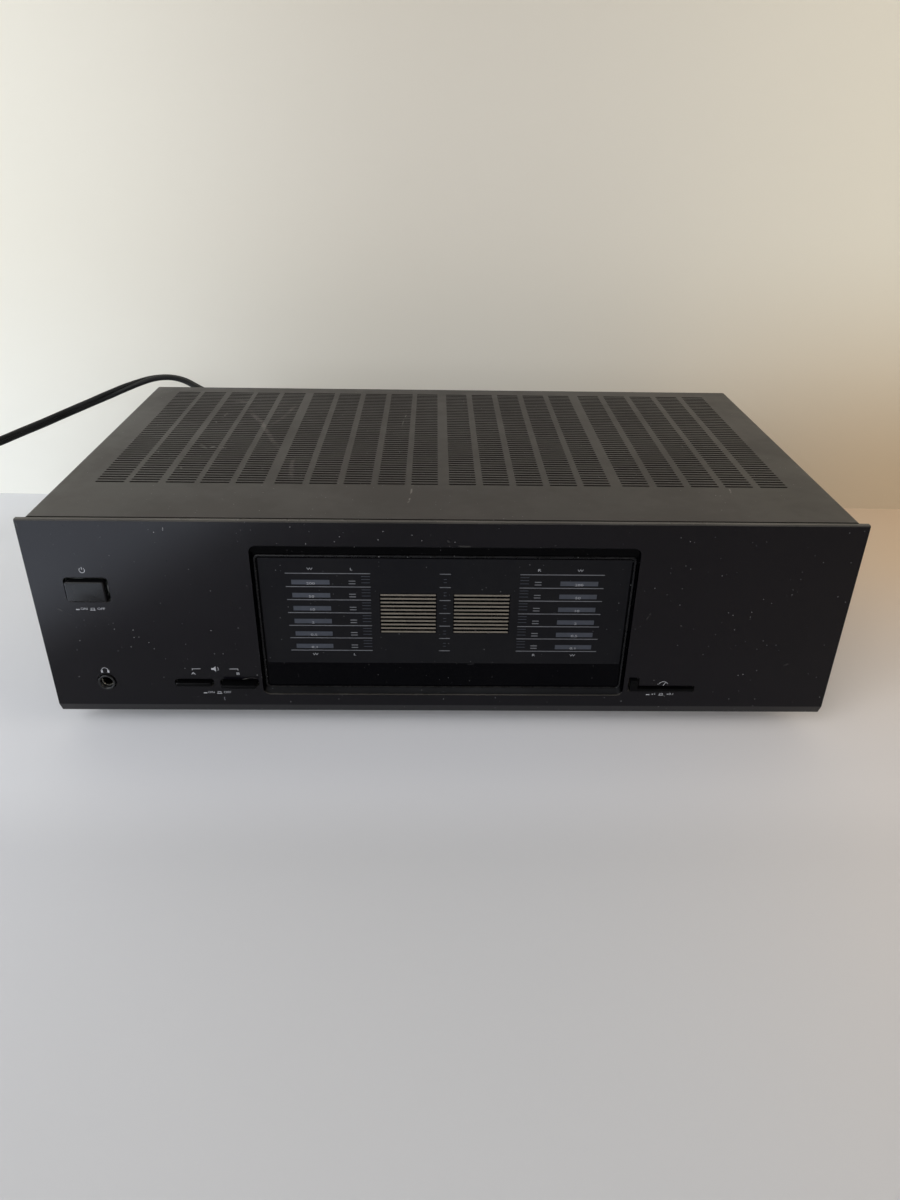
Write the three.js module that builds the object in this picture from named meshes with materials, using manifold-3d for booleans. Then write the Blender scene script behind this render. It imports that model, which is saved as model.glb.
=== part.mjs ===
// A hi-fi power amplifier with a display window, built as separate pieces.
//
// Lengths are in millimetres. X runs to the right, Y to the back and Z up, and the origin
// is on the surface that the feet stand on, under the middle of the case.
// Inside the machine's group, Y is the depth behind the front panel's face and Z is the
// height above the front panel's lower edge, which is how such a case is drawn.

import * as THREE from 'three';
import { mergeVertices } from 'three/addons/utils/BufferGeometryUtils.js';
import Module from 'manifold-3d';

const wasm = await Module();
wasm.setup();

// Clearances and sheet
const SEAT = 0.3; // between pieces that rest on each other
const SLIDE = 0.35; // round a part that slides or turns
const OVERRUN = 1; // how far a cut runs past what it cuts
const SHEET = 1.2; // steel sheet of the case
const SURFACE_DROP = 12; // from the front panel's lower edge down to the surface

// Front panel: an extruded section with a chamfered foot that turns back in a lip
const PANEL = {
  width: 440, height: 120.6, thick: 3, ease: 0.6, chamferHigh: 5.6, chamferDeep: 2.5, lipDeep: 7, lipHigh: 3,
};

// Case: the outside of the bent cover, set against the front panel
const CASE = {
  sideInset: 3.7, topRise: 0.3, bottom: 3.4, front: 3.6, rear: 245.7, bend: 2.5, lipHigh: 13, lipInset: 14,
};

// Vent field in the cover's top: groups of columns of slots that run across
const VENT = {
  groups: 4, columns: 5, rows: 14, columnGap: 3.7, groupGap: 4.2, sideMargin: 22.4, frontMargin: 48,
  rearMargin: 12.7,
};
const VENT_OPEN_SHARE = 0.5;

// Display: the opening in the panel, and what sits in it
const OPENING = { sideInset: 117.3, bottom: 12.8, topInset: 13.9, round: 4 };
const BEZEL = {
  front: 1.2, back: 12.9, rimSide: 2.5, rimBottom: 3.3, rimTop: 6.4, wallSide: 1.9, flange: 1,
};
const WINDOW = { thick: 2, overlap: 1.8 };
const TUBE = { sideInset: 9.7, bottomInset: 23.2, topInset: 12.7, bevel: 1 };
const BOARD_THICK = 1.6;

// Push controls: a cap in a hole of the panel, a stem behind it and a switch that takes the stem
const BUTTON = {
  sideInset: 29.7, topInset: 40.65, wide: 20.6, high: 12, proud: 2.8, long: 5, bevel: 0.5, round: 0.9,
  play: 1.4,
};
const KEY = {
  fromDisplay: 12.9, pitch: 25.5, z: 20.65, wide: 19.6, high: 2.3, proud: 4.8, pressed: 2.5, long: 8.5,
  bevel: 0.3, round: 0.5, play: 1.2,
};
const RANGE_KEY = {
  fromDisplay: 3.5, wide: 36.4, bottom: 17, barHigh: 1.7, padWide: 4.2, padHigh: 7.3, proud: 1.9, long: 5,
  bevel: 0.2, play: 0.9,
};
const STEM = { wide: 6, high: 1.5, long: 11 };
const SWITCH = { front: 9, pocketEnd: 20, rimHigh: 4, rimGap: 1.6, below: 6, side: 4 };
const SWITCH_LENGTH = { power: 33, speaker: 29, range: 24 };

// Headphone socket behind its hole
const JACK = {
  sideInset: 29.9, z: 21.1, collar: 4.8, bore: 3.25, mouth: 3.9, mouthDeep: 0.9, proud: 1.1, boreEnd: 34,
  bodyWide: 16, bodyHigh: 17, endWall: 4, play: 0.45,
};

// Inner front plate, bottom pan and rear plate
const SUB_PANEL = { flangeDeep: 12.5 };
const PAN = { flangeHigh: 16, slotWide: 3.2, slotLong: 42, slotPitch: 8, slotCount: 9, slotsInset: 46 };
const FOOT = {
  sideInset: 41.3, frontDepth: 35, rearInset: 30.7, radius: 15, tread: 12.5, treadRise: 2, ease: 1, recess: 5,
  recessTaper: 0.6, recessDeep: 5,
};
const SCREW = { head: 3.4, headHigh: 2, crown: 2.2, shank: 1.7, long: 7, hole: 2.1 };
const SIDE_SCREW = { z: 12, frontDepth: 70, rearInset: 45.7 };
const REAR_SCREW = { sideInset: 26.3, drop: 6.8 };
const REAR_VENT = { count: 10, wide: 3.4, high: 46, pitch: 8.2, x: -72, z: 62 };

// Rear fittings
const TERMINALS = {
  x: 48, z: 60, wide: 84, high: 46, rim: 3, proud: 5, bodyDeep: 12, round: 1.5,
  columns: 4, columnPitch: 19, rowPitch: 20, holeRadius: 1.6, holeDrop: 6, holeDeep: 9,
};
const LEVER = {
  wide: 8, below: 1, above: 8, thick: 2, sunk: 1.2, heel: 0.8, ledgeBottom: 5.5, ledgeHigh: 2,
  ledgeReach: 5.7,
};
const INPUTS = {
  sideInset: 44.3, z: 60, wide: 22, high: 46, rim: 3, thick: 1.6, bodyDeep: 14, round: 1.5,
  pitch: 19, socketRadius: 4.2, socketLong: 7.5, flangeRadius: 5.6, flangeLong: 1.5, pinHole: 1.6, pinDeep: 6,
};
const RELIEF = {
  sideInset: 46.3, z: 74, neck: 5.4, flange: 7.6, flangeLong: 3, innerFlange: 6.8, innerLong: 3,
  bootRoot: 5.6, bootTip: 4.3, bootLong: 26, flatShare: 0.82,
};

// Inside
const HEAT_SINK = {
  sideGap: 5.6, reach: 50, base: 5, fin: 1.8, fins: 9, length: 74, height: 88, switchGap: 8, rearInset: 39,
};
const TRANSISTOR = {
  wide: 15.6, high: 20, thick: 4.8, bottom: 40, step: 36, legWide: 1.2, legThick: 0.8, legPitch: 5.4,
};
// The transformer's and the capacitors' places as shares of the half width between the heat sinks
const TRANSFORMER_SHARE = -0.383;
const CAPACITOR_SHARE = 0.253;
const TRANSFORMER = {
  depth: 70.5, leg: 17.5, stack: 45, play: 0.5, coilGap: 1.3, coilRound: 9, coilShort: 0.8, strapThick: 1.5,
  strapWide: 30, strapFoot: 14,
};
const MAIN_BOARD = {
  front: 44, leftFront: 60, rearInset: 21, notchMargin: 9.2, standoff: 7.1, bossRadius: 4, bossInset: 8,
};
const CAPACITOR = {
  pitch: 46, depth: 82, radius: 17.5, height: 64, groove: 0.8, grooveLow: 4, grooveHigh: 7, rim: 1.2,
};
const RELAY = { x: 34, rearInset: 28, wide: 28, long: 30, high: 24, ease: 0.8 };

// Mains cord: a flat twin lead, thinner at its waist, with a lobe round each wire
const CORD = { wide: 7, thick: 4.2, waist: 2.6, lobe: 1.6, shoulder: 3.1 };
const CORD_STEP = 14; // one step of the free stretch
const COIL = {
  turns: 6 + 1 / 6, climbTurns: 1 / 2, stepsPerTurn: 24, outer: 47.7, turnGap: 1.8, layerGap: 0.6, lead: 7,
  tail: 34,
};
const PLUG = {
  neckLong: 8, bodyLong: 24, neckThick: 6.4, neckHigh: 9, thick: 15, high: 22, bevel: 1,
  bladeLong: 17, bladeWide: 6.3, bladeThick: 1.5, bladeGap: 12.7,
};
// The free stretch's course from the end of the strain relief, in X, Y and Z
const CORD_ROUTE = [
  [0, 0, 0], [0, 10, 0], [-0.7, 20.5, 1.3], [-4.5, 31.8, 5.2], [-13, 41, 12], [-25, 45.5, 20],
  [-37.3, 46.7, 26.7], [-45.5, 47, 31.2], [-53.2, 46.3, 33.8], [-61.8, 44.5, 34.9], [-73, 41.4, 34],
  [-89.4, 35, 29.6], [-105.3, 27, 24.2], [-120.8, 18, 18.9], [-135.7, 8, 14], [-149.8, -2, 9.3],
  [-163.4, -12.8, 5.3], [-176.2, -24, 1.5], [-194, -35.4, -4], [-213, -46.5, -16.8], [-229, -55, -34.5],
  [-242, -61.6, -53], [-254.6, -68.2, -68], [-265.5, -74.5, -78.4], [-276, -80.6, -82.2],
  [-282, -84.1, -82.5],
];

// Derived places
const panelHalf = PANEL.width / 2;
const caseHalf = panelHalf - CASE.sideInset;
const caseTop = PANEL.height + CASE.topRise;
const insideHalf = caseHalf - SHEET - SEAT;
const insideTop = caseTop - SHEET - SEAT;
const subHalf = insideHalf - SHEET - SEAT;
const subFront = PANEL.thick + SEAT;
const subBack = subFront + SHEET;
const panTop = CASE.bottom + SHEET;
const floor = panTop + SEAT;
const panFront = PANEL.lipDeep + SEAT;
const rearOuter = CASE.rear - SHEET - SEAT;
const rearInner = rearOuter - SHEET;
const fittingFront = rearOuter + SEAT;
const terminalFace = fittingFront + TERMINALS.proud;
const rearReach = terminalFace + LEVER.ledgeReach;
const frontY = (KEY.proud - rearReach) / 2;
const openingHalf = panelHalf - OPENING.sideInset;
const openingTop = PANEL.height - OPENING.topInset;
const buttonX = BUTTON.sideInset - panelHalf;
const buttonZ = PANEL.height - BUTTON.topInset;
const keyB = -openingHalf - KEY.fromDisplay;
const keyA = keyB - KEY.pitch;
const jackX = JACK.sideInset - panelHalf;
const inputsX = caseHalf - INPUTS.sideInset;
const reliefX = RELIEF.sideInset - caseHalf;
const boardBottom = floor + MAIN_BOARD.standoff;
const boardTop = boardBottom + BOARD_THICK + SEAT;
const boardRear = rearInner - MAIN_BOARD.rearInset;
const sinkInner = insideHalf - SHEET - HEAT_SINK.sideGap - HEAT_SINK.reach;
const sinkDepths = {
  left: SWITCH.front + SWITCH_LENGTH.power + HEAT_SINK.switchGap,
  right: rearInner - HEAT_SINK.rearInset - HEAT_SINK.length,
};
const transformerX = TRANSFORMER_SHARE * sinkInner;
const coreHalf = 3 * TRANSFORMER.leg;
const coilThick = TRANSFORMER.leg - TRANSFORMER.play - TRANSFORMER.coilGap;
const coilPitch = CORD.thick + COIL.turnGap;
const coilLayer = CORD.wide + COIL.layerGap;

// Finishes
function finish([color, roughness, metalness]) {
  return new THREE.MeshStandardMaterial({ color, roughness, metalness });
}
const BLACK_PANEL = [0x26262a, 0.42, 0.3];
const COVER_PAINT = [0x4a463f, 0.55, 0.2];
const STEEL = [0x9a9a96, 0.4, 0.9];
const BLACK_PLASTIC = [0x161618, 0.4, 0];
const RED_PLASTIC = [0x8c1c18, 0.4, 0];
const DARK_GLASS = [0x101116, 0.08, 0];
const ALUMINIUM = [0xb9bbbd, 0.35, 1];
const RUBBER = [0x1b1b1b, 0.8, 0];
const BOARD_GREEN = [0x2f4a2c, 0.6, 0];
const LAMINATION = [0x5d5b57, 0.5, 0.8];
const TAPE = [0xb98f3a, 0.5, 0];
const SLEEVE = [0x22304a, 0.35, 0];
const NICKEL = [0xd0cfc8, 0.2, 1];
const GOLD = [0xc8a24a, 0.25, 1];

// Shapes

function boxOf(x, y, z) {
  const geometry = new THREE.BoxGeometry(x[1] - x[0], y[1] - y[0], z[1] - z[0]);
  return geometry.translate((x[0] + x[1]) / 2, (y[0] + y[1]) / 2, (z[0] + z[1]) / 2);
}

// A range of a given size about its middle
const about = (middle, size) => [middle - size / 2, middle + size / 2];

function roundedRect(x, z, round) {
  const shape = new THREE.Shape();
  shape.moveTo(x[0] + round, z[0]);
  shape.lineTo(x[1] - round, z[0]);
  shape.absarc(x[1] - round, z[0] + round, round, -Math.PI / 2, 0);
  shape.lineTo(x[1], z[1] - round);
  shape.absarc(x[1] - round, z[1] - round, round, 0, Math.PI / 2);
  shape.lineTo(x[0] + round, z[1]);
  shape.absarc(x[0] + round, z[1] - round, round, Math.PI / 2, Math.PI);
  shape.lineTo(x[0], z[0] + round);
  shape.absarc(x[0] + round, z[0] + round, round, Math.PI, 1.5 * Math.PI);
  return shape;
}

const polygon = (points) => new THREE.Shape(points.map(([x, y]) => new THREE.Vector2(x, y)));

function circle(x, z, radius) {
  const shape = new THREE.Shape();
  shape.absarc(x, z, radius, 0, 2 * Math.PI);
  return shape;
}

function grown(range, by) {
  return [range[0] - by, range[1] + by];
}

// An extrusion between two places along its own axis, with an optional bevel inside its outline
function extruded(shape, from, to, { bevel = 0, curveSegments = 3 } = {}) {
  const geometry = new THREE.ExtrudeGeometry(shape, {
    depth: to - from - 2 * bevel,
    curveSegments,
    bevelEnabled: bevel > 0,
    bevelThickness: bevel,
    bevelSize: bevel,
    bevelOffset: -bevel,
    bevelSegments: 1,
  });
  return geometry.translate(0, 0, from + bevel);
}

// A shape drawn in X and Z that runs in Y
function alongY(shape, from, to, options) {
  const turned = new THREE.Matrix4().makeBasis(
    new THREE.Vector3(1, 0, 0), new THREE.Vector3(0, 0, 1), new THREE.Vector3(0, -1, 0),
  );
  return extruded(shape, -to, -from, options).applyMatrix4(turned);
}

// A shape drawn in Y and Z that runs in X
function alongX(shape, from, to, options) {
  const turned = new THREE.Matrix4().makeBasis(
    new THREE.Vector3(0, 1, 0), new THREE.Vector3(0, 0, 1), new THREE.Vector3(1, 0, 0),
  );
  return extruded(shape, from, to, options).applyMatrix4(turned);
}

// A profile of [radius, along] points turned about the Y axis
function turnedAboutY(points, sides) {
  return new THREE.LatheGeometry(points.map(([radius, y]) => new THREE.Vector2(radius, y)), sides);
}

// Solids

// The geometry with its shared vertices merged and its collapsed faces left out
function welded(geometry) {
  const bare = geometry.clone();
  bare.deleteAttribute('normal');
  bare.deleteAttribute('uv');
  const merged = mergeVertices(bare);
  const corners = merged.index.array;
  const kept = [];
  for (let i = 0; i < corners.length; i += 3) {
    const [a, b, c] = [corners[i], corners[i + 1], corners[i + 2]];
    if (a !== b && b !== c && c !== a) kept.push(a, b, c);
  }
  merged.setIndex(kept);
  return facingOut(merged);
}

function volumeOf(geometry) {
  const at = geometry.attributes.position;
  const corners = geometry.index.array;
  const [a, b, c] = [new THREE.Vector3(), new THREE.Vector3(), new THREE.Vector3()];
  let six = 0;
  for (let i = 0; i < corners.length; i += 3) {
    a.fromBufferAttribute(at, corners[i]);
    b.fromBufferAttribute(at, corners[i + 1]);
    c.fromBufferAttribute(at, corners[i + 2]);
    six += a.dot(b.cross(c));
  }
  return six / 6;
}

function facingOut(geometry) {
  if (volumeOf(geometry) < 0) {
    const corners = Array.from(geometry.index.array);
    for (let i = 0; i < corners.length; i += 3) {
      [corners[i + 1], corners[i + 2]] = [corners[i + 2], corners[i + 1]];
    }
    geometry.setIndex(corners);
  }
  return geometry;
}

function solidOf(geometry) {
  const closed = welded(geometry);
  return new wasm.Manifold(new wasm.Mesh({
    numProp: 3,
    vertProperties: new Float32Array(closed.attributes.position.array),
    triVerts: new Uint32Array(closed.index.array),
  }));
}

function geometryOf(solid) {
  const mesh = solid.getMesh();
  const geometry = new THREE.BufferGeometry();
  geometry.setAttribute('position', new THREE.BufferAttribute(new Float32Array(mesh.vertProperties), 3));
  geometry.setIndex(new THREE.BufferAttribute(new Uint32Array(mesh.triVerts), 1));
  return geometry;
}

// The first geometry joined with the added ones and cut by the cutters
function worked(body, { add = [], cut = [] }) {
  let solid = solidOf(body);
  for (const geometry of add) solid = solid.add(solidOf(geometry));
  for (const geometry of cut) solid = solid.subtract(solidOf(geometry));
  return geometryOf(solid);
}

// Scene graph
const amplifier = new THREE.Group();
const machine = new THREE.Group();
machine.position.set(0, frontY, SURFACE_DROP);
amplifier.add(machine);

function place(name, geometry, look, { x = 0, y = 0, z = 0, turn = 0, parent = machine } = {}) {
  const ready = welded(geometry);
  ready.computeVertexNormals();
  const mesh = new THREE.Mesh(ready, finish(look));
  mesh.name = name;
  mesh.position.set(x, y, z);
  mesh.rotation.z = turn;
  parent.add(mesh);
  return mesh;
}

// Outlines that a hole, its piece and the plate behind share

const buttonOutline = (gap) => roundedRect(
  grown(about(buttonX, BUTTON.wide), gap), grown(about(buttonZ, BUTTON.high), gap), BUTTON.round + gap,
);

const keyOutline = (x, gap) => roundedRect(
  grown(about(x, KEY.wide), gap), grown(about(KEY.z, KEY.high), gap), KEY.round + gap,
);

// A square pad with a thin bar to its right, level at the bottom
function rangeKeyOutline(gap) {
  const { fromDisplay, wide, bottom, barHigh, padWide, padHigh } = RANGE_KEY;
  const left = openingHalf + fromDisplay;
  const right = left + wide;
  return polygon([
    [left - gap, bottom - gap], [right + gap, bottom - gap], [right + gap, bottom + barHigh + gap],
    [left + padWide + gap, bottom + barHigh + gap], [left + padWide + gap, bottom + padHigh + gap],
    [left - gap, bottom + padHigh + gap],
  ]);
}

const openingOutline = (gap) => roundedRect(
  grown([-openingHalf, openingHalf], -gap), grown([OPENING.bottom, openingTop], -gap), OPENING.round - gap,
);

const bezelSide = grown([-openingHalf, openingHalf], BEZEL.flange - SEAT);
const bezelHigh = grown([OPENING.bottom, openingTop], BEZEL.flange);

// Heights of the bezel's aperture, and of the window that overlaps it behind the rim
const apertureHigh = [OPENING.bottom + SEAT + BEZEL.rimBottom, openingTop - SEAT - BEZEL.rimTop];
const windowHigh = grown(apertureHigh, WINDOW.overlap);

// Holes of the controls through a plate between two depths
function controlHoles(from, to) {
  return [
    alongY(buttonOutline(BUTTON.play), from, to),
    alongY(keyOutline(keyA, KEY.play), from, to),
    alongY(keyOutline(keyB, KEY.play), from, to),
    alongY(rangeKeyOutline(RANGE_KEY.play), from, to),
    alongY(circle(jackX, JACK.z, JACK.collar + JACK.play), from, to, { curveSegments: 20 }),
  ];
}

// Front

function makeFrontPanel() {
  const { width, height, thick, ease, chamferHigh, chamferDeep, lipDeep, lipHigh } = PANEL;
  const section = polygon([
    [chamferDeep, 0], [lipDeep, 0], [lipDeep, lipHigh], [thick, lipHigh], [thick, height], [ease, height],
    [0, height - ease], [0, chamferHigh],
  ]);
  const opening = alongY(openingOutline(0), -OVERRUN, thick + OVERRUN);
  const geometry = worked(alongX(section, -width / 2, width / 2), {
    cut: [opening, ...controlHoles(-OVERRUN, thick + OVERRUN)],
  });
  place('front_panel', geometry, BLACK_PANEL);
}

function makeSubPanel() {
  const back = subFront + SUB_PANEL.flangeDeep;
  const outer = boxOf([-subHalf, subHalf], [subFront, back], [floor, insideTop]);
  const hollow = boxOf(
    [-subHalf + SHEET, subHalf - SHEET], [subBack, back + OVERRUN], [floor + SHEET, insideTop - SHEET],
  );
  const display = boxOf(
    grown(bezelSide, SEAT), [subFront - OVERRUN, subBack + OVERRUN], grown(bezelHigh, SEAT),
  );
  const holes = controlHoles(subFront - OVERRUN, subBack + OVERRUN);
  place('sub_panel', worked(outer, { cut: [hollow, display, ...holes] }), STEEL);
}

function makeBezel() {
  const rim = alongY(openingOutline(SEAT), BEZEL.front, subFront + OVERRUN);
  const frame = boxOf(bezelSide, [subFront, BEZEL.back], bezelHigh);
  const windowFront = subFront + SEAT;
  const aperture = boxOf(
    grown([-openingHalf, openingHalf], -SEAT - BEZEL.rimSide), [BEZEL.front - OVERRUN, windowFront + OVERRUN],
    apertureHigh,
  );
  const well = boxOf(
    grown(bezelSide, -BEZEL.wallSide), [subFront, BEZEL.back + OVERRUN], grown(windowHigh, SEAT),
  );
  place('display_bezel', worked(frame, { add: [rim], cut: [aperture, well] }), BLACK_PLASTIC);
}

function makeDisplay() {
  const inner = grown(bezelSide, -BEZEL.wallSide - SEAT);
  const windowFront = subFront + SEAT;
  const windowBack = windowFront + WINDOW.thick;
  place('display_window', boxOf(inner, [windowFront, windowBack], windowHigh), DARK_GLASS);
  const outline = roundedRect(
    grown([-openingHalf, openingHalf], -TUBE.sideInset),
    [OPENING.bottom + TUBE.bottomInset, openingTop - TUBE.topInset], TUBE.bevel,
  );
  const tube = alongY(outline, windowBack + SEAT, BEZEL.back, { bevel: TUBE.bevel, curveSegments: 1 });
  place('display_tube', tube, DARK_GLASS);
  const boardFront = BEZEL.back + SEAT;
  place('display_board', boxOf(bezelSide, [boardFront, boardFront + BOARD_THICK], bezelHigh), BOARD_GREEN);
}

// Controls

// A cap whose face stands at the given depth, with its stem
function pushPiece(name, outline, { face, long, bevel, stemX, stemZ }) {
  const back = face + long;
  const cap = alongY(outline, face, back, { bevel });
  const stem = boxOf(
    about(stemX, STEM.wide), [back - bevel - OVERRUN, back + STEM.long], about(stemZ, STEM.high),
  );
  place(name, worked(cap, { add: [stem] }), BLACK_PLASTIC);
}

// A switch behind the inner plate: a body that takes the stems, with a rim that seats on the plate
function switchBody(name, { x, topOfCaps, bottomOfCaps, length, stems }) {
  const rimBottom = topOfCaps + SWITCH.rimGap;
  const rimTop = rimBottom + SWITCH.rimHigh;
  const body = boxOf(x, [SWITCH.front, SWITCH.front + length], [bottomOfCaps - SWITCH.below, rimTop]);
  const rim = boxOf(x, [subBack + SEAT, SWITCH.front + OVERRUN], [rimBottom, rimTop]);
  const pockets = stems.map(([stemX, stemZ]) => boxOf(
    about(stemX, STEM.wide + 2 * SLIDE), [SWITCH.front - OVERRUN, SWITCH.pocketEnd],
    about(stemZ, STEM.high + 2 * SLIDE),
  ));
  place(name, worked(body, { add: [rim], cut: pockets }), STEEL);
}

function makePowerControl() {
  pushPiece('power_button', buttonOutline(0), {
    face: -BUTTON.proud, long: BUTTON.long, bevel: BUTTON.bevel, stemX: buttonX, stemZ: buttonZ,
  });
  switchBody('power_switch_body', {
    x: grown(about(buttonX, BUTTON.wide), SWITCH.side),
    topOfCaps: buttonZ + BUTTON.high / 2,
    bottomOfCaps: buttonZ - BUTTON.high / 2 + SWITCH.side,
    length: SWITCH_LENGTH.power,
    stems: [[buttonX, buttonZ]],
  });
}

function makeSpeakerControls() {
  const shared = { long: KEY.long, bevel: KEY.bevel, stemZ: KEY.z };
  pushPiece('speaker_key_a', keyOutline(keyA, 0), { ...shared, face: -KEY.pressed, stemX: keyA });
  pushPiece('speaker_key_b', keyOutline(keyB, 0), { ...shared, face: -KEY.proud, stemX: keyB });
  switchBody('speaker_switch_body', {
    x: [keyA - KEY.wide / 2 - SWITCH.side, keyB + KEY.wide / 2],
    topOfCaps: KEY.z + KEY.high / 2,
    bottomOfCaps: KEY.z - KEY.high / 2,
    length: SWITCH_LENGTH.speaker,
    stems: [[keyA, KEY.z], [keyB, KEY.z]],
  });
}

function makeRangeControl() {
  const { fromDisplay, wide, bottom, barHigh, padWide, padHigh, proud, long, bevel } = RANGE_KEY;
  const left = openingHalf + fromDisplay;
  const stemX = left + wide / 2;
  const stemZ = bottom + barHigh / 2;
  pushPiece('meter_range_key', rangeKeyOutline(0), { face: -proud, long, bevel, stemX, stemZ });
  switchBody('meter_switch_body', {
    x: [left + padWide + SWITCH.side, left + wide],
    topOfCaps: bottom + padHigh - SWITCH.side,
    bottomOfCaps: bottom,
    length: SWITCH_LENGTH.range,
    stems: [[stemX, stemZ]],
  });
}

function makePhonesJack() {
  const bodyFront = subBack + SEAT;
  const collar = turnedAboutY([
    [0, -JACK.proud], [JACK.collar, -JACK.proud], [JACK.collar, bodyFront + OVERRUN],
    [0, bodyFront + OVERRUN],
  ], 20).translate(jackX, 0, JACK.z);
  const body = boxOf(
    about(jackX, JACK.bodyWide), [bodyFront, JACK.boreEnd + JACK.endWall], about(JACK.z, JACK.bodyHigh),
  );
  const bore = turnedAboutY([
    [0, -JACK.proud - OVERRUN], [JACK.mouth, -JACK.proud - OVERRUN], [JACK.mouth, -JACK.proud],
    [JACK.bore, JACK.mouthDeep - JACK.proud], [JACK.bore, JACK.boreEnd], [0, JACK.boreEnd],
  ], 16).translate(jackX, 0, JACK.z);
  place('phones_jack', worked(body, { add: [collar], cut: [bore] }), BLACK_PLASTIC);
}

// Case

function screwGeometry() {
  const { head, headHigh, crown, shank, long } = SCREW;
  return turnedAboutY([
    [0, 0], [crown, 0], [head, headHigh / 2], [head, headHigh], [shank, headHigh], [shank, headHigh + long],
    [0, headHigh + long],
  ], 10);
}

const screwHole = () => turnedAboutY([
  [0, -SCREW.long], [SCREW.hole, -SCREW.long], [SCREW.hole, SCREW.long], [0, SCREW.long],
], 10);

const sideScrewDepths = { front: SIDE_SCREW.frontDepth, rear: CASE.rear - SIDE_SCREW.rearInset };
const rearScrewHalf = caseHalf - REAR_SCREW.sideInset;
const rearScrewPlaces = { left: -rearScrewHalf, middle: 0, right: rearScrewHalf };
const rearScrewZ = caseTop - REAR_SCREW.drop;

// Screw holes through both side walls, and through the rear lip and plate
const sideHoles = () => [-1, 1].flatMap((side) => Object.values(sideScrewDepths).map(
  (depth) => screwHole().rotateZ(Math.PI / 2).translate(side * caseHalf, depth, SIDE_SCREW.z),
));
const rearHoles = () => Object.values(rearScrewPlaces).map(
  (x) => screwHole().translate(x, CASE.rear, rearScrewZ),
);

// The slots of the vent field, column by column and row by row
function ventSlots() {
  const { groups, columns, rows, columnGap, groupGap, sideMargin, frontMargin, rearMargin } = VENT;
  const count = groups * columns;
  const gaps = (count - groups) * columnGap + (groups - 1) * groupGap;
  const slotWide = (2 * (caseHalf - sideMargin) - gaps) / count;
  const from = CASE.front + frontMargin;
  const rowPitch = (CASE.rear - rearMargin - from) / rows;
  const through = [caseTop - SHEET - OVERRUN, caseTop + OVERRUN];
  const slots = [];
  let left = sideMargin - caseHalf;
  for (let column = 1; column <= count; column += 1) {
    for (let row = 0; row < rows; row += 1) {
      const start = from + (row + VENT_OPEN_SHARE / 2) * rowPitch;
      slots.push(boxOf([left, left + slotWide], [start, start + VENT_OPEN_SHARE * rowPitch], through));
    }
    left += slotWide + (column % columns === 0 ? groupGap : columnGap);
  }
  return slots;
}

// The cover's section: a sheet bent down along both sides
function coverSection() {
  const { bottom, bend } = CASE;
  const top = caseTop;
  const inner = bend - SHEET;
  const shape = new THREE.Shape();
  shape.moveTo(-caseHalf, bottom);
  shape.lineTo(-caseHalf + SHEET, bottom);
  shape.lineTo(-caseHalf + SHEET, top - bend);
  shape.absarc(-caseHalf + bend, top - bend, inner, Math.PI, Math.PI / 2, true);
  shape.lineTo(caseHalf - bend, top - SHEET);
  shape.absarc(caseHalf - bend, top - bend, inner, Math.PI / 2, 0, true);
  shape.lineTo(caseHalf - SHEET, bottom);
  shape.lineTo(caseHalf, bottom);
  shape.lineTo(caseHalf, top - bend);
  shape.absarc(caseHalf - bend, top - bend, bend, 0, Math.PI / 2);
  shape.lineTo(-caseHalf + bend, top);
  shape.absarc(-caseHalf + bend, top - bend, bend, Math.PI / 2, Math.PI);
  return shape;
}

function makeTopCover() {
  const lip = boxOf(
    [-caseHalf + CASE.lipInset, caseHalf - CASE.lipInset], [CASE.rear - SHEET, CASE.rear],
    [caseTop - CASE.lipHigh, caseTop - SHEET / 2],
  );
  const slots = wasm.Manifold.union(ventSlots().map(solidOf));
  const shell = solidOf(worked(alongY(coverSection(), CASE.front, CASE.rear), {
    add: [lip], cut: [...sideHoles(), ...rearHoles()],
  }));
  place('top_cover', geometryOf(shell.subtract(slots)), COVER_PAINT);
}

function makeCoverScrews() {
  for (const [end, depth] of Object.entries(sideScrewDepths)) {
    const x = caseHalf + SEAT + SCREW.headHigh;
    const seat = { y: depth, z: SIDE_SCREW.z };
    place(`side_screw_${end}_left`, screwGeometry(), STEEL, { ...seat, x: -x, turn: -Math.PI / 2 });
    place(`side_screw_${end}_right`, screwGeometry(), STEEL, { ...seat, x, turn: Math.PI / 2 });
  }
  for (const [side, x] of Object.entries(rearScrewPlaces)) {
    const y = CASE.rear + SEAT + SCREW.headHigh;
    place(`rear_screw_${side}`, screwGeometry(), STEEL, { x, y, z: rearScrewZ, turn: Math.PI });
  }
}

// A row of slots through a plate, as boxes: across in X, long in the other direction
function slotRow({ middle, count, pitch, wide, long, through }) {
  return Array.from({ length: count }, (_, i) => {
    const x = about(middle[0] + (i - (count - 1) / 2) * pitch, wide);
    const other = about(middle[1], long);
    return through.upright ? boxOf(x, through.range, other) : boxOf(x, other, through.range);
  });
}

// The main board lies between the heat sinks, with a notch round the transformer
const boardHalf = sinkInner - SEAT;
const notchHalf = coreHalf + SEAT + TRANSFORMER.strapThick + MAIN_BOARD.notchMargin;
const notch = [transformerX - notchHalf, transformerX + notchHalf];
const coilReach = TRANSFORMER.stack / 2 + TRANSFORMER.play + coilThick;
const notchRear = TRANSFORMER.depth + coilReach + MAIN_BOARD.notchMargin;
const boardCorners = [
  [-boardHalf, MAIN_BOARD.leftFront, 1, 1],
  [notch[1], MAIN_BOARD.front, 1, 1],
  [boardHalf, MAIN_BOARD.front, -1, 1],
  [boardHalf, boardRear, -1, -1],
  [-boardHalf, boardRear, 1, -1],
];

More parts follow.
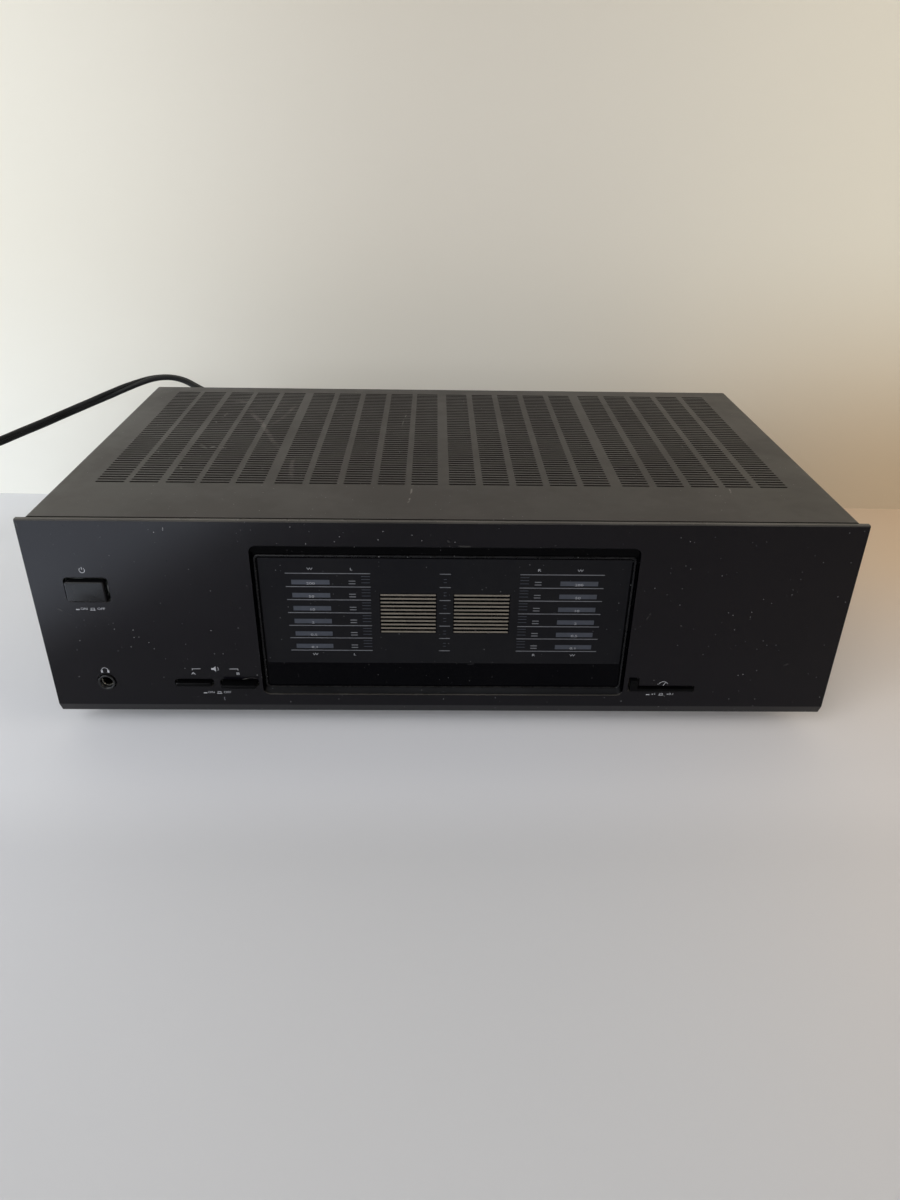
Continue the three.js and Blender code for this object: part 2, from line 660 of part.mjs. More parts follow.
// Pressed bosses under the main board's corners
const boardBosses = () => boardCorners.map(([x, y, inX, inY]) => {
  const { bossInset, bossRadius } = MAIN_BOARD;
  const outline = circle(x + inX * bossInset, y + inY * bossInset, bossRadius);
  return extruded(outline, panTop - SHEET / 2, boardBottom - SEAT, { curveSegments: 10 });
});

function makePan() {
  const rear = rearInner - SEAT;
  const flangeTop = CASE.bottom + PAN.flangeHigh;
  const section = polygon([
    [-insideHalf, CASE.bottom], [insideHalf, CASE.bottom], [insideHalf, flangeTop],
    [insideHalf - SHEET, flangeTop],
    [insideHalf - SHEET, panTop], [-insideHalf + SHEET, panTop], [-insideHalf + SHEET, flangeTop],
    [-insideHalf, flangeTop],
  ]);
  const slots = [[-1, sinkDepths.left], [1, sinkDepths.right]].flatMap(([side, depth]) => slotRow({
    middle: [side * (insideHalf - PAN.slotsInset), depth + HEAT_SINK.length / 2],
    count: PAN.slotCount, pitch: PAN.slotPitch, wide: PAN.slotWide, long: PAN.slotLong,
    through: { range: [CASE.bottom - OVERRUN, panTop + OVERRUN] },
  }));
  const tray = alongY(section, panFront, rear);
  place('chassis_pan', worked(tray, { add: boardBosses(), cut: [...slots, ...sideHoles()] }), STEEL);
}

function makeFeet() {
  const { radius, tread, treadRise, ease, recess, recessTaper, recessDeep } = FOOT;
  const high = SURFACE_DROP + CASE.bottom - SEAT;
  const profile = [
    [0, recessDeep], [recess - recessTaper, recessDeep], [recess, 0], [tread, 0], [radius, treadRise],
    [radius, high - ease], [radius - ease, high], [0, high],
  ];
  const across = caseHalf - FOOT.sideInset;
  for (const [end, y] of [['front', FOOT.frontDepth], ['rear', CASE.rear - FOOT.rearInset]]) {
    for (const [side, x] of [['left', -across], ['right', across]]) {
      const foot = turnedAboutY(profile, 18).rotateX(Math.PI / 2);
      place(`foot_${end}_${side}`, foot, RUBBER, { x, y, z: -SURFACE_DROP });
    }
  }
}

// Rear

// The body of a fitting behind its plate, which passes through the rear plate
const fittingBody = (x, fitting, depths, gap) => boxOf(
  grown(about(x, fitting.wide), gap - fitting.rim), depths,
  grown(about(fitting.z, fitting.high), gap - fitting.rim),
);

const fittingHole = (x, fitting) => fittingBody(x, fitting, [rearInner - OVERRUN, rearOuter + OVERRUN], SEAT);

function makeRearPanel() {
  const outline = roundedRect([-insideHalf, insideHalf], [CASE.bottom, insideTop], CASE.bend - SHEET - SEAT);
  const plate = alongY(outline, rearInner, rearOuter);
  const through = [rearInner - OVERRUN, rearOuter + OVERRUN];
  const vents = slotRow({
    middle: [REAR_VENT.x, REAR_VENT.z], count: REAR_VENT.count, pitch: REAR_VENT.pitch, wide: REAR_VENT.wide,
    long: REAR_VENT.high, through: { upright: true, range: through },
  });
  const neck = circle(0, 0, RELIEF.neck + SEAT);
  const cordHole = alongY(neck, ...through, { curveSegments: 16 });
  cordHole.scale(1, 1, RELIEF.flatShare).translate(reliefX, 0, RELIEF.z);
  const geometry = worked(plate, {
    cut: [
      ...vents, ...rearHoles(), cordHole, fittingHole(TERMINALS.x, TERMINALS), fittingHole(inputsX, INPUTS),
    ],
  });
  place('rear_panel', geometry, COVER_PAINT);
}

// The places of the wire clamps on the terminal block, row by row from the top left
function clampPlaces() {
  const places = [];
  for (const row of [1, -1]) {
    for (let column = 0; column < TERMINALS.columns; column += 1) {
      const x = TERMINALS.x + (column - (TERMINALS.columns - 1) / 2) * TERMINALS.columnPitch;
      places.push([x, TERMINALS.z + row * TERMINALS.rowPitch / 2]);
    }
  }
  return places;
}

function makeTerminalBlock() {
  const plate = alongY(
    roundedRect(about(TERMINALS.x, TERMINALS.wide), about(TERMINALS.z, TERMINALS.high), TERMINALS.round),
    fittingFront, terminalFace,
  );
  const depths = [rearOuter - TERMINALS.bodyDeep, fittingFront + OVERRUN];
  const body = fittingBody(TERMINALS.x, TERMINALS, depths, 0);
  const pocket = [terminalFace - LEVER.sunk - LEVER.thick - LEVER.heel, terminalFace + OVERRUN];
  const hole = [terminalFace - TERMINALS.holeDeep, terminalFace + OVERRUN];
  const cuts = clampPlaces().flatMap(([x, z]) => [
    boxOf(
      grown(about(x, LEVER.wide), SLIDE), pocket,
      [z - LEVER.below - SLIDE - LEVER.heel, z + LEVER.above + SLIDE],
    ),
    alongY(circle(x, z - TERMINALS.holeDrop, TERMINALS.holeRadius), ...hole, { curveSegments: 10 }),
  ]);
  place('terminal_block', worked(plate, { add: [body], cut: cuts }), BLACK_PLASTIC);
}

// A clamp lever: an upright blade in its pocket, with a ledge for the thumb near its top
function makeTerminalLevers() {
  const blade = [-LEVER.sunk - LEVER.thick, -LEVER.sunk];
  const section = polygon([
    [blade[0], -LEVER.below], [blade[1], -LEVER.below], [blade[1], LEVER.ledgeBottom],
    [LEVER.ledgeReach, LEVER.ledgeBottom + LEVER.ledgeHigh / 4],
    [LEVER.ledgeReach, LEVER.ledgeBottom + LEVER.ledgeHigh], [blade[1], LEVER.above], [blade[0], LEVER.above],
  ]);
  clampPlaces().forEach(([x, z], i) => {
    const look = i % 2 === 0 ? BLACK_PLASTIC : RED_PLASTIC;
    const lever = alongX(section, -LEVER.wide / 2, LEVER.wide / 2);
    place(`terminal_lever_${i + 1}`, lever, look, { x, y: terminalFace, z });
  });
}

function makeInputs() {
  const plate = alongY(
    roundedRect(about(inputsX, INPUTS.wide), about(INPUTS.z, INPUTS.high), INPUTS.round),
    fittingFront, fittingFront + INPUTS.thick,
  );
  const depths = [rearOuter - INPUTS.bodyDeep, fittingFront + INPUTS.thick / 2];
  const body = fittingBody(inputsX, INPUTS, depths, 0);
  place('input_jack_block', worked(plate, { add: [body] }), BLACK_PLASTIC);
  const { flangeRadius, flangeLong, socketRadius, socketLong, pinHole, pinDeep } = INPUTS;
  const socket = turnedAboutY([
    [0, 0], [flangeRadius, 0], [flangeRadius, flangeLong], [socketRadius, flangeLong],
    [socketRadius, socketLong], [pinHole, socketLong], [pinHole, socketLong - pinDeep],
    [0, socketLong - pinDeep],
  ], 16);
  const seat = { x: inputsX, y: fittingFront + INPUTS.thick + SEAT };
  place('input_jack_left', socket, NICKEL, { ...seat, z: INPUTS.z + INPUTS.pitch / 2 });
  place('input_jack_right', socket, GOLD, { ...seat, z: INPUTS.z - INPUTS.pitch / 2 });
}

// Strain relief: flanges on both sides of the plate and a tapered boot outside
const bootEnd = fittingFront + RELIEF.flangeLong + RELIEF.bootLong;

function makeStrainRelief() {
  const { z, neck, flange, flangeLong, innerFlange, innerLong, bootRoot, bootTip, flatShare } = RELIEF;
  const inside = rearInner - SEAT;
  const profile = [
    [0, inside - innerLong], [innerFlange, inside - innerLong], [innerFlange, inside], [neck, inside],
    [neck, fittingFront], [flange, fittingFront], [flange, fittingFront + flangeLong],
    [bootRoot, fittingFront + flangeLong], [bootTip, bootEnd], [0, bootEnd],
  ];
  place('strain_relief', turnedAboutY(profile, 16).scale(1, 1, flatShare), RUBBER, { x: reliefX, z });
}

// Inside

// A comb of fins on a base plate, drawn from above and extruded upwards
function heatSinkOutline(side) {
  const { reach, base, fin, fins, length } = HEAT_SINK;
  const pitch = (length - fin) / (fins - 1);
  const root = side * (sinkInner + base);
  const tip = side * (sinkInner + reach);
  const points = [[side * sinkInner, 0]];
  for (let i = 0; i < fins; i += 1) {
    const start = i * pitch;
    if (i > 0) points.push([root, start]);
    points.push([tip, start], [tip, start + fin]);
    if (i < fins - 1) points.push([root, start + fin]);
  }
  points.push([side * sinkInner, length]);
  return polygon(points);
}

function makeHeatSinks() {
  let number = 1;
  for (const [name, depth] of Object.entries(sinkDepths)) {
    const side = name === 'left' ? -1 : 1;
    const sink = extruded(heatSinkOutline(side), floor, floor + HEAT_SINK.height);
    place(`heat_sink_${name}`, sink, ALUMINIUM, { y: depth });
    for (const along of [-TRANSISTOR.step / 2, TRANSISTOR.step / 2]) {
      makeTransistor(`output_transistor_${number}`, side, depth + HEAT_SINK.length / 2 + along);
      number += 1;
    }
  }
}

// A power transistor flat against the sink's base, with three legs down to the board
function makeTransistor(name, side, depth) {
  const { wide, high, thick, bottom, legWide, legThick, legPitch } = TRANSISTOR;
  const near = sinkInner - SEAT;
  const across = side < 0 ? [-near, -near + thick] : [near - thick, near];
  const body = boxOf(across, about(0, wide), [bottom, bottom + high]);
  const legX = about((across[0] + across[1]) / 2, legThick);
  const legZ = [boardTop, bottom + OVERRUN];
  const legs = [-legPitch, 0, legPitch].map((y) => boxOf(legX, about(y, legWide), legZ));
  place(name, worked(body, { add: legs }), BLACK_PLASTIC, { y: depth });
}

function makeTransformer() {
  const { depth, leg, stack, play, coilRound, coilShort } = TRANSFORMER;
  const seat = { x: transformerX, y: depth, z: floor };
  const high = 5 * leg;
  const reach = stack / 2 + OVERRUN;
  const windows = [-1, 1].map((side) => boxOf(about(side * 1.5 * leg, leg), [-reach, reach], [leg, 4 * leg]));
  const core = worked(boxOf([-coreHalf, coreHalf], about(0, stack), [0, high]), { cut: windows });
  place('transformer_core', core, LAMINATION, seat);
  const inner = [leg + play, stack / 2 + play];
  const outer = inner.map((size) => size + coilThick);
  const ring = roundedRect([-outer[0], outer[0]], [-outer[1], outer[1]], coilRound);
  const bore = boxOf([-inner[0], inner[0]], [-inner[1], inner[1]], [0, high]);
  const winding = worked(extruded(ring, leg + coilShort, 4 * leg - coilShort), { cut: [bore] });
  place('transformer_winding', winding, TAPE, seat);
  makeStrap(coreHalf + SEAT, high + SEAT, seat);
}

// A strap bent over the core, whose inside has the given half width and top, with feet on the pan
function makeStrap(side, top, seat) {
  const { strapThick, strapWide, strapFoot } = TRANSFORMER;
  const outer = side + strapThick;
  const toe = outer + strapFoot;
  const section = polygon([
    [toe, 0], [toe, strapThick], [outer, strapThick], [outer, top + strapThick], [-outer, top + strapThick],
    [-outer, strapThick], [-toe, strapThick], [-toe, 0], [-side, 0], [-side, top], [side, top], [side, 0],
  ]);
  place('transformer_strap', alongY(section, -strapWide / 2, strapWide / 2), STEEL, seat);
}

function makeMainBoard() {
  const { front, leftFront } = MAIN_BOARD;
  const outline = polygon([
    [-boardHalf, leftFront], [notch[0], leftFront], [notch[0], notchRear], [notch[1], notchRear],
    [notch[1], front], [boardHalf, front], [boardHalf, boardRear], [-boardHalf, boardRear],
  ]);
  place('main_board', extruded(outline, boardBottom, boardBottom + BOARD_THICK), BOARD_GREEN);
}

function makeCapacitors() {
  const { radius, height, groove, grooveLow, grooveHigh, rim } = CAPACITOR;
  const profile = [
    [0, 0], [radius, 0], [radius, grooveLow], [radius - groove, (grooveLow + grooveHigh) / 2],
    [radius, grooveHigh], [radius, height - rim], [radius - rim, height], [0, height],
  ];
  ['left', 'right'].forEach((side, i) => {
    const x = CAPACITOR_SHARE * sinkInner + i * CAPACITOR.pitch;
    const geometry = turnedAboutY(profile, 20).rotateX(Math.PI / 2);
    place(`filter_capacitor_${side}`, geometry, SLEEVE, { x, y: CAPACITOR.depth, z: boardTop });
  });
}

function makeRelay() {
  const outline = roundedRect(about(0, RELAY.wide), about(0, RELAY.long), RELAY.ease);
  const geometry = extruded(outline, 0, RELAY.high, { bevel: RELAY.ease, curveSegments: 1 });
  const y = boardRear - RELAY.rearInset;
  place('speaker_relay', geometry, BLACK_PLASTIC, { x: RELAY.x, y, z: boardTop });
}

// Cord

// The section of the twin lead, wide in its second direction
function cordSection() {
  const { wide, thick, waist, lobe, shoulder } = CORD;
  const half = [
    [waist / 2, 0], [thick / 2, lobe], [thick / 4, shoulder], [0, wide / 2], [-thick / 4, shoulder],
    [-thick / 2, lobe],
  ];
  return polygon([...half, ...half.map(([x, y]) => [-x, -y])]);
}

const cordPoints = CORD_ROUTE.map(([x, y, z]) => new THREE.Vector3(
  reliefX + x, frontY + bootEnd + SEAT + y, SURFACE_DROP + RELIEF.z + z,
));
const cordCurve = new THREE.CatmullRomCurve3(cordPoints, false, 'centripetal');

function makeFreeCord() {
  const steps = Math.round(cordCurve.getLength() / CORD_STEP);
  const geometry = new THREE.ExtrudeGeometry(cordSection(), { steps, extrudePath: cordCurve });
  place('mains_cord', geometry, RUBBER, { parent: amplifier });
}

// The coil's middle line: from where the free stretch ends, in by one layer and out by the other
const coilStart = cordPoints[cordPoints.length - 1];
const coilHeading = cordCurve.getTangent(1).setZ(0).normalize();
const coilFrom = coilStart.clone().addScaledVector(coilHeading, SEAT);
const coilEntry = coilFrom.clone().addScaledVector(coilHeading, COIL.lead);
const coilLeft = new THREE.Vector3(-coilHeading.y, coilHeading.x, 0);
const coilCentre = coilEntry.clone().addScaledVector(coilLeft, COIL.outer);

function coilPoint(turn) {
  const half = COIL.turns / 2;
  const radius = COIL.outer - coilPitch * Math.min(turn, COIL.turns - turn);
  const climb = THREE.MathUtils.smoothstep(turn, half - COIL.climbTurns / 2, half + COIL.climbTurns / 2);
  const angle = Math.atan2(-coilLeft.y, -coilLeft.x) + 2 * Math.PI * turn;
  const out = new THREE.Vector3(Math.cos(angle), Math.sin(angle), 0);
  return coilCentre.clone().addScaledVector(out, radius).setZ(coilStart.z + coilLayer * climb);
}

// Ring centres and the way that each ring faces
function coilLine() {
  const steps = Math.round(COIL.turns * COIL.stepsPerTurn);
  const line = [{ at: coilFrom, along: coilHeading }];
  for (let i = 0; i <= steps; i += 1) {
    const turn = COIL.turns * i / steps;
    const angle = Math.atan2(coilHeading.y, coilHeading.x) + 2 * Math.PI * turn;
    line.push({ at: coilPoint(turn), along: new THREE.Vector3(Math.cos(angle), Math.sin(angle), 0) });
  }
  const last = line[line.length - 1];
  line.push({ at: last.at.clone().addScaledVector(last.along, COIL.tail), along: last.along });
  return line;
}

// A six-sided section, as high as the lead is wide
const coilSection = [
  [0, CORD.wide / 2], [CORD.thick / 2, CORD.wide / 4], [CORD.thick / 2, -CORD.wide / 4], [0, -CORD.wide / 2],
  [-CORD.thick / 2, -CORD.wide / 4], [-CORD.thick / 2, CORD.wide / 4],
];

function ringPoints({ at, along }) {
  return coilSection.map(
    ([side, up]) => new THREE.Vector3(at.x + side * along.y, at.y - side * along.x, at.z + up),
  );
}

function tubeThrough(line) {
  const sides = coilSection.length;
  const rings = line.map(ringPoints);
  const positions = rings.flat().flatMap((p) => [p.x, p.y, p.z]);
  const corners = [];
  for (let ring = 0; ring < rings.length - 1; ring += 1) {
    for (let i = 0; i < sides; i += 1) {
      const [a, b] = [ring * sides + i, ring * sides + (i + 1) % sides];
      corners.push(a, b, b + sides, a, b + sides, a + sides);
    }
  }
  const end = (rings.length - 1) * sides;
  for (let i = 1; i < sides - 1; i += 1) {
    corners.push(0, i + 1, i, end, end + i, end + i + 1);
  }
  const geometry = new THREE.BufferGeometry();
  geometry.setAttribute('position', new THREE.Float32BufferAttribute(positions, 3));
  geometry.setIndex(corners);
  return geometry;
}

// The least distance between ring points that lie half a turn or more apart along the tube
function leastGap(line) {
  const rings = line.map(ringPoints);
  let least = Infinity;
  for (let i = 0; i < rings.length; i += 1) {
    for (let j = i + COIL.stepsPerTurn / 2; j < rings.length; j += 1) {
      for (const a of rings[i]) {
        for (const b of rings[j]) least = Math.min(least, a.distanceTo(b));
      }
    }
  }
  return least;
}

function makeCoil() {
  const line = coilLine();
  console.log(`cord_coil: least gap to itself ${leastGap(line).toFixed(2)} mm`);
  place('cord_coil', tubeThrough(line), RUBBER, { parent: amplifier });
  return line[line.length - 1];
}

// A moulded plug with two flat blades, lying on its narrow side
function makePlug({ at, along }) {
  const { neckLong, bodyLong, neckThick, neckHigh, thick, high, bevel } = PLUG;
  const length = neckLong + bodyLong;
  const outline = polygon([
    [-neckThick / 2, 0], [neckThick / 2, 0], [thick / 2, neckLong], [thick / 2, length - bevel],
    [thick / 2 - bevel, length], [-thick / 2 + bevel, length], [-thick / 2, length - bevel],
    [-thick / 2, neckLong],
  ]);
  const side = polygon([
    [0, -neckHigh / 2], [neckLong, -high / 2], [length, -high / 2], [length, high / 2],
    [neckLong, high / 2], [0, neckHigh / 2],
  ]);
  const plan = solidOf(extruded(outline, -high / 2, high / 2));
  const body = geometryOf(plan.intersect(solidOf(alongX(side, -thick / 2, thick / 2))));
  const bladeRun = [length - OVERRUN, length + PLUG.bladeLong];
  const blades = [-1, 1].map((sign) => boxOf(
    about(0, PLUG.bladeThick), bladeRun, about(sign * PLUG.bladeGap / 2, PLUG.bladeWide),
  ));
  const turn = Math.atan2(along.y, along.x) - Math.PI / 2;
  const start = at.clone().addScaledVector(along, SEAT);
  place('mains_plug', worked(body, { add: blades }), BLACK_PLASTIC, { ...start, turn, parent: amplifier });
}

makeFrontPanel();
makeSubPanel();
makeBezel();
makeDisplay();
makePowerControl();
makeSpeakerControls();
makeRangeControl();
makePhonesJack();
makeTopCover();
makeCoverScrews();
makePan();
makeFeet();
makeRearPanel();
makeTerminalBlock();
makeTerminalLevers();
makeInputs();
makeStrainRelief();
makeHeatSinks();
makeTransformer();
makeMainBoard();
makeCapacitors();
makeRelay();
makeFreeCord();
makePlug(makeCoil());

export default amplifier;
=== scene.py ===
"""Looks of a full-width hi-fi power amplifier with a level-meter window, in metres."""

import logging
import math
from dataclasses import dataclass, replace
from enum import Enum
from typing import Optional, Sequence, Union

import bmesh
import bpy
from mathutils import Matrix, Vector


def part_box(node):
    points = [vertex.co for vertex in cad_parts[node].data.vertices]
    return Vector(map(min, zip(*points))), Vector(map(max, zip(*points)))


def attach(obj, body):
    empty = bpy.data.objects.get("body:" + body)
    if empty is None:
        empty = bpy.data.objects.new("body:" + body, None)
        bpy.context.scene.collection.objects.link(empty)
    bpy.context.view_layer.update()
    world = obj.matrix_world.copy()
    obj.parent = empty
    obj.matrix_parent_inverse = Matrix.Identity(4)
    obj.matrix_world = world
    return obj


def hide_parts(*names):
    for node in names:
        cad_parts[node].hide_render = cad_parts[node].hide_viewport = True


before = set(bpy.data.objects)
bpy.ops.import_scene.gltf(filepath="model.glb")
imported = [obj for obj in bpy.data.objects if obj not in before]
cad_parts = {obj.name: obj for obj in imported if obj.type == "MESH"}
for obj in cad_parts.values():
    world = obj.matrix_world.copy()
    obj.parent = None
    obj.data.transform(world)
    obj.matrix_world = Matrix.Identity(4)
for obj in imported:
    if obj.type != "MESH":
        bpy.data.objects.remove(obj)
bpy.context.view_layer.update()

LOG = logging.getLogger("amplifier")
MM = 0.001
FACE = -125.2 * MM
PANEL_FOOT = 12 * MM
LIFT = 0.03 * MM
SHARP_TURN = math.radians(40)
ARC_STEP = 15
CAPITALS = 0.69  # the capitals' height in lettering of size 1
CHASSIS = "chassis"
CORNERS = ("front_left", "front_right", "rear_left", "rear_right")

Colour = tuple[float, float, float, float]
Place = tuple[float, float, float]
Span = tuple[float, float]
Numbers = tuple[float, ...]
Row = tuple[float, Colour, Colour, Colour]
Socket = bpy.types.NodeSocket
Sockets = bpy.types.NodeOutputs
Results = dict[str, Socket]
Value = Union[float, Colour, Socket]
Thing = bpy.types.Object
BMesh, BMEdge, BMVert = bmesh.types.BMesh, bmesh.types.BMEdge, bmesh.types.BMVert

# Each streak that is wiped across the cover: where it starts and ends, and how wide it is.
WIPES: tuple[tuple[Span, Span, float], ...] = (
    ((-0.137, 0.072), (-0.101, -0.022), 0.0026), ((-0.104, 0.080), (-0.117, 0.025), 0.002),
    ((-0.150, 0.088), (-0.140, 0.082), 0.004), ((-0.092, -0.030), (-0.087, -0.070), 0.002),
)


def srgb(red: float, green: float, blue: float) -> Colour:
    """Turns a colour read as 0 to 255 into linear light.

    Args:
        red: Red as read.
        green: Green as read.
        blue: Blue as read.

    Returns:
        The colour with full alpha.
    """
    parts = [channel / 255 for channel in (red, green, blue)]
    light = [p / 12.92 if p <= 0.04045 else ((p + 0.055) / 1.055) ** 2.4 for p in parts]
    return (*light, 1.0)


def smooth(value: float, low: float, high: float) -> float:
    """Eases from 0 at low to 1 at high."""
    share = min(1.0, max(0.0, (value - low) / (high - low)))
    return share * share * (3 - 2 * share)


def shaded(colour: Colour, factor: float) -> Colour:
    """Darkens or lightens a colour by a factor."""
    return (*(factor * channel for channel in colour[:3]), 1.0)


class Graph:
    """A node tree under construction."""

    def __init__(self, tree: bpy.types.NodeTree) -> None:
        """Starts on a tree."""
        self.tree = tree

    def add(self, kind: str, inputs: Optional[dict] = None, **settings: object) -> bpy.types.Node:
        """Adds a node.

        Args:
            kind: The node's type.
            inputs: Values or sockets for its inputs, by name or number.
            **settings: Its own properties.

        Returns:
            The node.
        """
        node = self.tree.nodes.new(kind)
        for name, value in settings.items():
            setattr(node, name, value)
        for name, value in (inputs or {}).items():
            self.feed(node.inputs[name], value)
        return node

    def feed(self, socket: Socket, value: Value) -> None:
        """Links a socket, or sets its value.

        Args:
            socket: The input to fill.
            value: A socket to link from, or a plain value.
        """
        if isinstance(value, Socket):
            self.tree.links.new(value, socket)
        else:
            socket.default_value = value

    def math(self, operation: str, first: Value, second: Value = 0.0, *others: Value) -> Socket:
        """Combines values from left to right by a Math node's operation."""
        result = self.add("ShaderNodeMath", {0: first, 1: second}, operation=operation).outputs[0]
        return self.math(operation, result, *others) if others else result

    def times(self, *factors: Value) -> Socket:
        """Multiplies values."""
        return self.math("MULTIPLY", *factors)

    def plus(self, *values: Value) -> Socket:
        """Adds values."""
        return self.math("ADD", *values)

    def minus(self, value: Value, less: Value) -> Socket:
        """Takes one value from another."""
        return self.math("SUBTRACT", value, less)

    def mix(self, share: Value, first: Value, second: Value) -> Socket:
        """Mixes two colours, the first at a share of 0 and the second at 1."""
        return self.add("ShaderNodeMix", {0: share, 6: first, 7: second}, data_type="RGBA").outputs[2]

    def ramp(self, value: Value, low: float, high: float, start: float = 0.0, end: float = 1.0) -> Socket:
        """Maps a value smoothly: low becomes start, and high becomes end."""
        values = {0: value, 1: low, 2: high, 3: start, 4: end}
        return self.add("ShaderNodeMapRange", values, interpolation_type="SMOOTHSTEP").outputs[0]

    def fade(self, value: Value, low: float, high: float) -> Socket:
        """Maps a value smoothly to 1 at low and 0 at high."""
        return self.ramp(value, low, high, 1.0, 0.0)

    def place(self) -> Socket:
        """Gives the place on the object."""
        return self.add("ShaderNodeTexCoord").outputs["Object"]

    def split(self, vector: Socket) -> Sockets:
        """Gives a vector's X, Y and Z."""
        return self.add("ShaderNodeSeparateXYZ", {0: vector}).outputs

    def noise(self, scale: Value, detail: float = 3.0, place: Optional[Socket] = None) -> Socket:
        """Gives a noise from 0 to 1, by its features to the metre and its octaves."""
        values = {"Vector": place or self.place(), "Scale": scale, "Detail": detail}
        return self.add("ShaderNodeTexNoise", values).outputs[0]

    def effect(self, effect: "Effect", **inputs: Value) -> Sockets:
        """Places a shared effect with its inputs, and gives its outputs."""
        return self.add("ShaderNodeGroup", inputs, node_tree=effect.group()).outputs


class EffectGraph(Graph):
    """The node group of a shared effect, with a method for each effect."""

    def __init__(self, tree: bpy.types.NodeTree) -> None:
        """Starts on a group's tree and takes up its inputs."""
        super().__init__(tree)
        self.given = self.add("NodeGroupInput").outputs

    def mottle(self) -> Results:
        """Makes soft clouds of tone.

        Returns:
            A value about one half.
        """
        coarse = self.noise(self.given["Scale"], 2.0)
        fine = self.noise(self.times(self.given["Scale"], 9.0), 4.0)
        both = self.plus(self.times(coarse, 0.7), self.times(fine, 0.3))
        return {"Value": self.ramp(both, 0.3, 0.7)}

    def grain(self) -> Results:
        """Makes the fine pebbled relief of paint or a moulded skin.

        Returns:
            A height.
        """
        pebbles = self.add("ShaderNodeTexVoronoi", {"Vector": self.place(), "Scale": self.given["Scale"]})
        soft = self.noise(self.times(self.given["Scale"], 0.4), 2.0)
        return {"Height": self.plus(self.times(pebbles.outputs["Distance"], 0.6), soft)}

    def brushed(self) -> Results:
        """Draws fine lines that run along X.

        Returns:
            A height and a tone.
        """
        axes = self.split(self.place())
        scales = {"X": "Along", "Y": "Across", "Z": "Across"}
        values = {axis: self.times(axes[axis], self.given[scale]) for axis, scale in scales.items()}
        lines = self.noise(1.0, 3.0, self.add("ShaderNodeCombineXYZ", values).outputs[0])
        return {"Height": lines, "Tone": self.ramp(lines, 0.3, 0.7)}

    def dust(self) -> Results:
        """Lays dust on faces that look up, and sticks specks anywhere.

        Returns:
            A mask for the film and one for the specks.
        """
        normal = self.add("ShaderNodeNewGeometry").outputs["Normal"]
        up = self.ramp(self.split(normal)["Z"], 0.3, 0.95)
        clouds = self.ramp(self.noise(22.0, 5.0), 0.25, 0.8, 0.55, 1.0)
        cells = self.add("ShaderNodeTexVoronoi", {"Vector": self.place(), "Scale": 400.0}).outputs
        near = self.fade(cells["Distance"], 0.06, 0.13)
        luck = self.add("ShaderNodeSeparateColor", {0: cells["Color"]}).outputs[0]
        chosen = self.ramp(luck, 0.72, 1.0)
        groups = self.ramp(self.noise(26.0), 0.35, 0.65, 0.15, 1.0)
        specks = self.times(near, chosen, groups, self.given["Specks"])
        return {"Film": self.times(up, clouds, self.given["Film"]), "Specks": specks}

    def scuffs(self) -> Results:
        """Draws thin curved scratches in patches.

        Returns:
            A mask.
        """
        slant = {"Vector": self.place(), "Scale": (1, 0.35, 1), "Rotation": (0, 0, 0.5)}
        lines = self.noise(self.given["Scale"], 1.0, self.add("ShaderNodeMapping", slant).outputs[0])
        thin = self.fade(self.math("ABSOLUTE", self.minus(lines, 0.5)), 0.0012, 0.004)
        patches = self.ramp(self.noise(30.0), 0.58, 0.66)
        broken = self.ramp(self.noise(230.0, 2.0), 0.45, 0.6)
        return {"Mask": self.times(thin, patches, broken, self.given["Amount"])}

    def edges(self) -> Results:
        """Rounds the edges, and lightens them: worn paint, and on the keys a painted highlight.

        Returns:
            A rounded normal and a mask of wear and painted highlight.
        """
        soft = self.add("ShaderNodeBevel", {"Radius": self.given["Radius"]}, samples=4).outputs[0]
        flat = self.add("ShaderNodeNewGeometry").outputs["True Normal"]
        alike = self.add("ShaderNodeVectorMath", {0: soft, 1: flat}, operation="DOT_PRODUCT").outputs["Value"]
        edge = self.ramp(self.minus(1.0, alike), 0.03, 0.22)
        rubbed = self.ramp(self.noise(90.0, 4.0), 0.45, 0.7)
        return {"Normal": soft, "Wear": self.times(edge, rubbed, self.given["Amount"])}

    def streaks(self) -> Results:
        """Wipes a few streaks across the cover's left half.

        Returns:
            A mask.
        """
        axes = self.split(self.place())
        wander = self.times(self.minus(self.noise(30.0, 2.0), 0.5), 0.006)
        lines = []
        for start, end, wide in WIPES:
            way = Vector(end) - Vector(start)
            length, way = way.length, way.normalized()
            side = self.plus(self.times(axes["X"], -way.y), self.times(axes["Y"], way.x))
            side = self.plus(self.minus(side, way.x * start[1] - way.y * start[0]), wander)
            run = self.plus(self.times(axes["X"], way.x), self.times(axes["Y"], way.y))
            run = self.math("DIVIDE", self.minus(run, way.dot(Vector(start))), length)
            across = self.fade(self.math("ABSOLUTE", side), wide * 0.2, wide)
            lines.append(self.times(across, self.ramp(run, 0.0, 0.2), self.fade(run, 0.7, 1.0)))
        broken = self.ramp(self.noise(260.0), 0.35, 0.65, 0.25, 1.0)
        return {"Mask": self.times(self.math("MAXIMUM", *lines), broken, self.given["Amount"])}


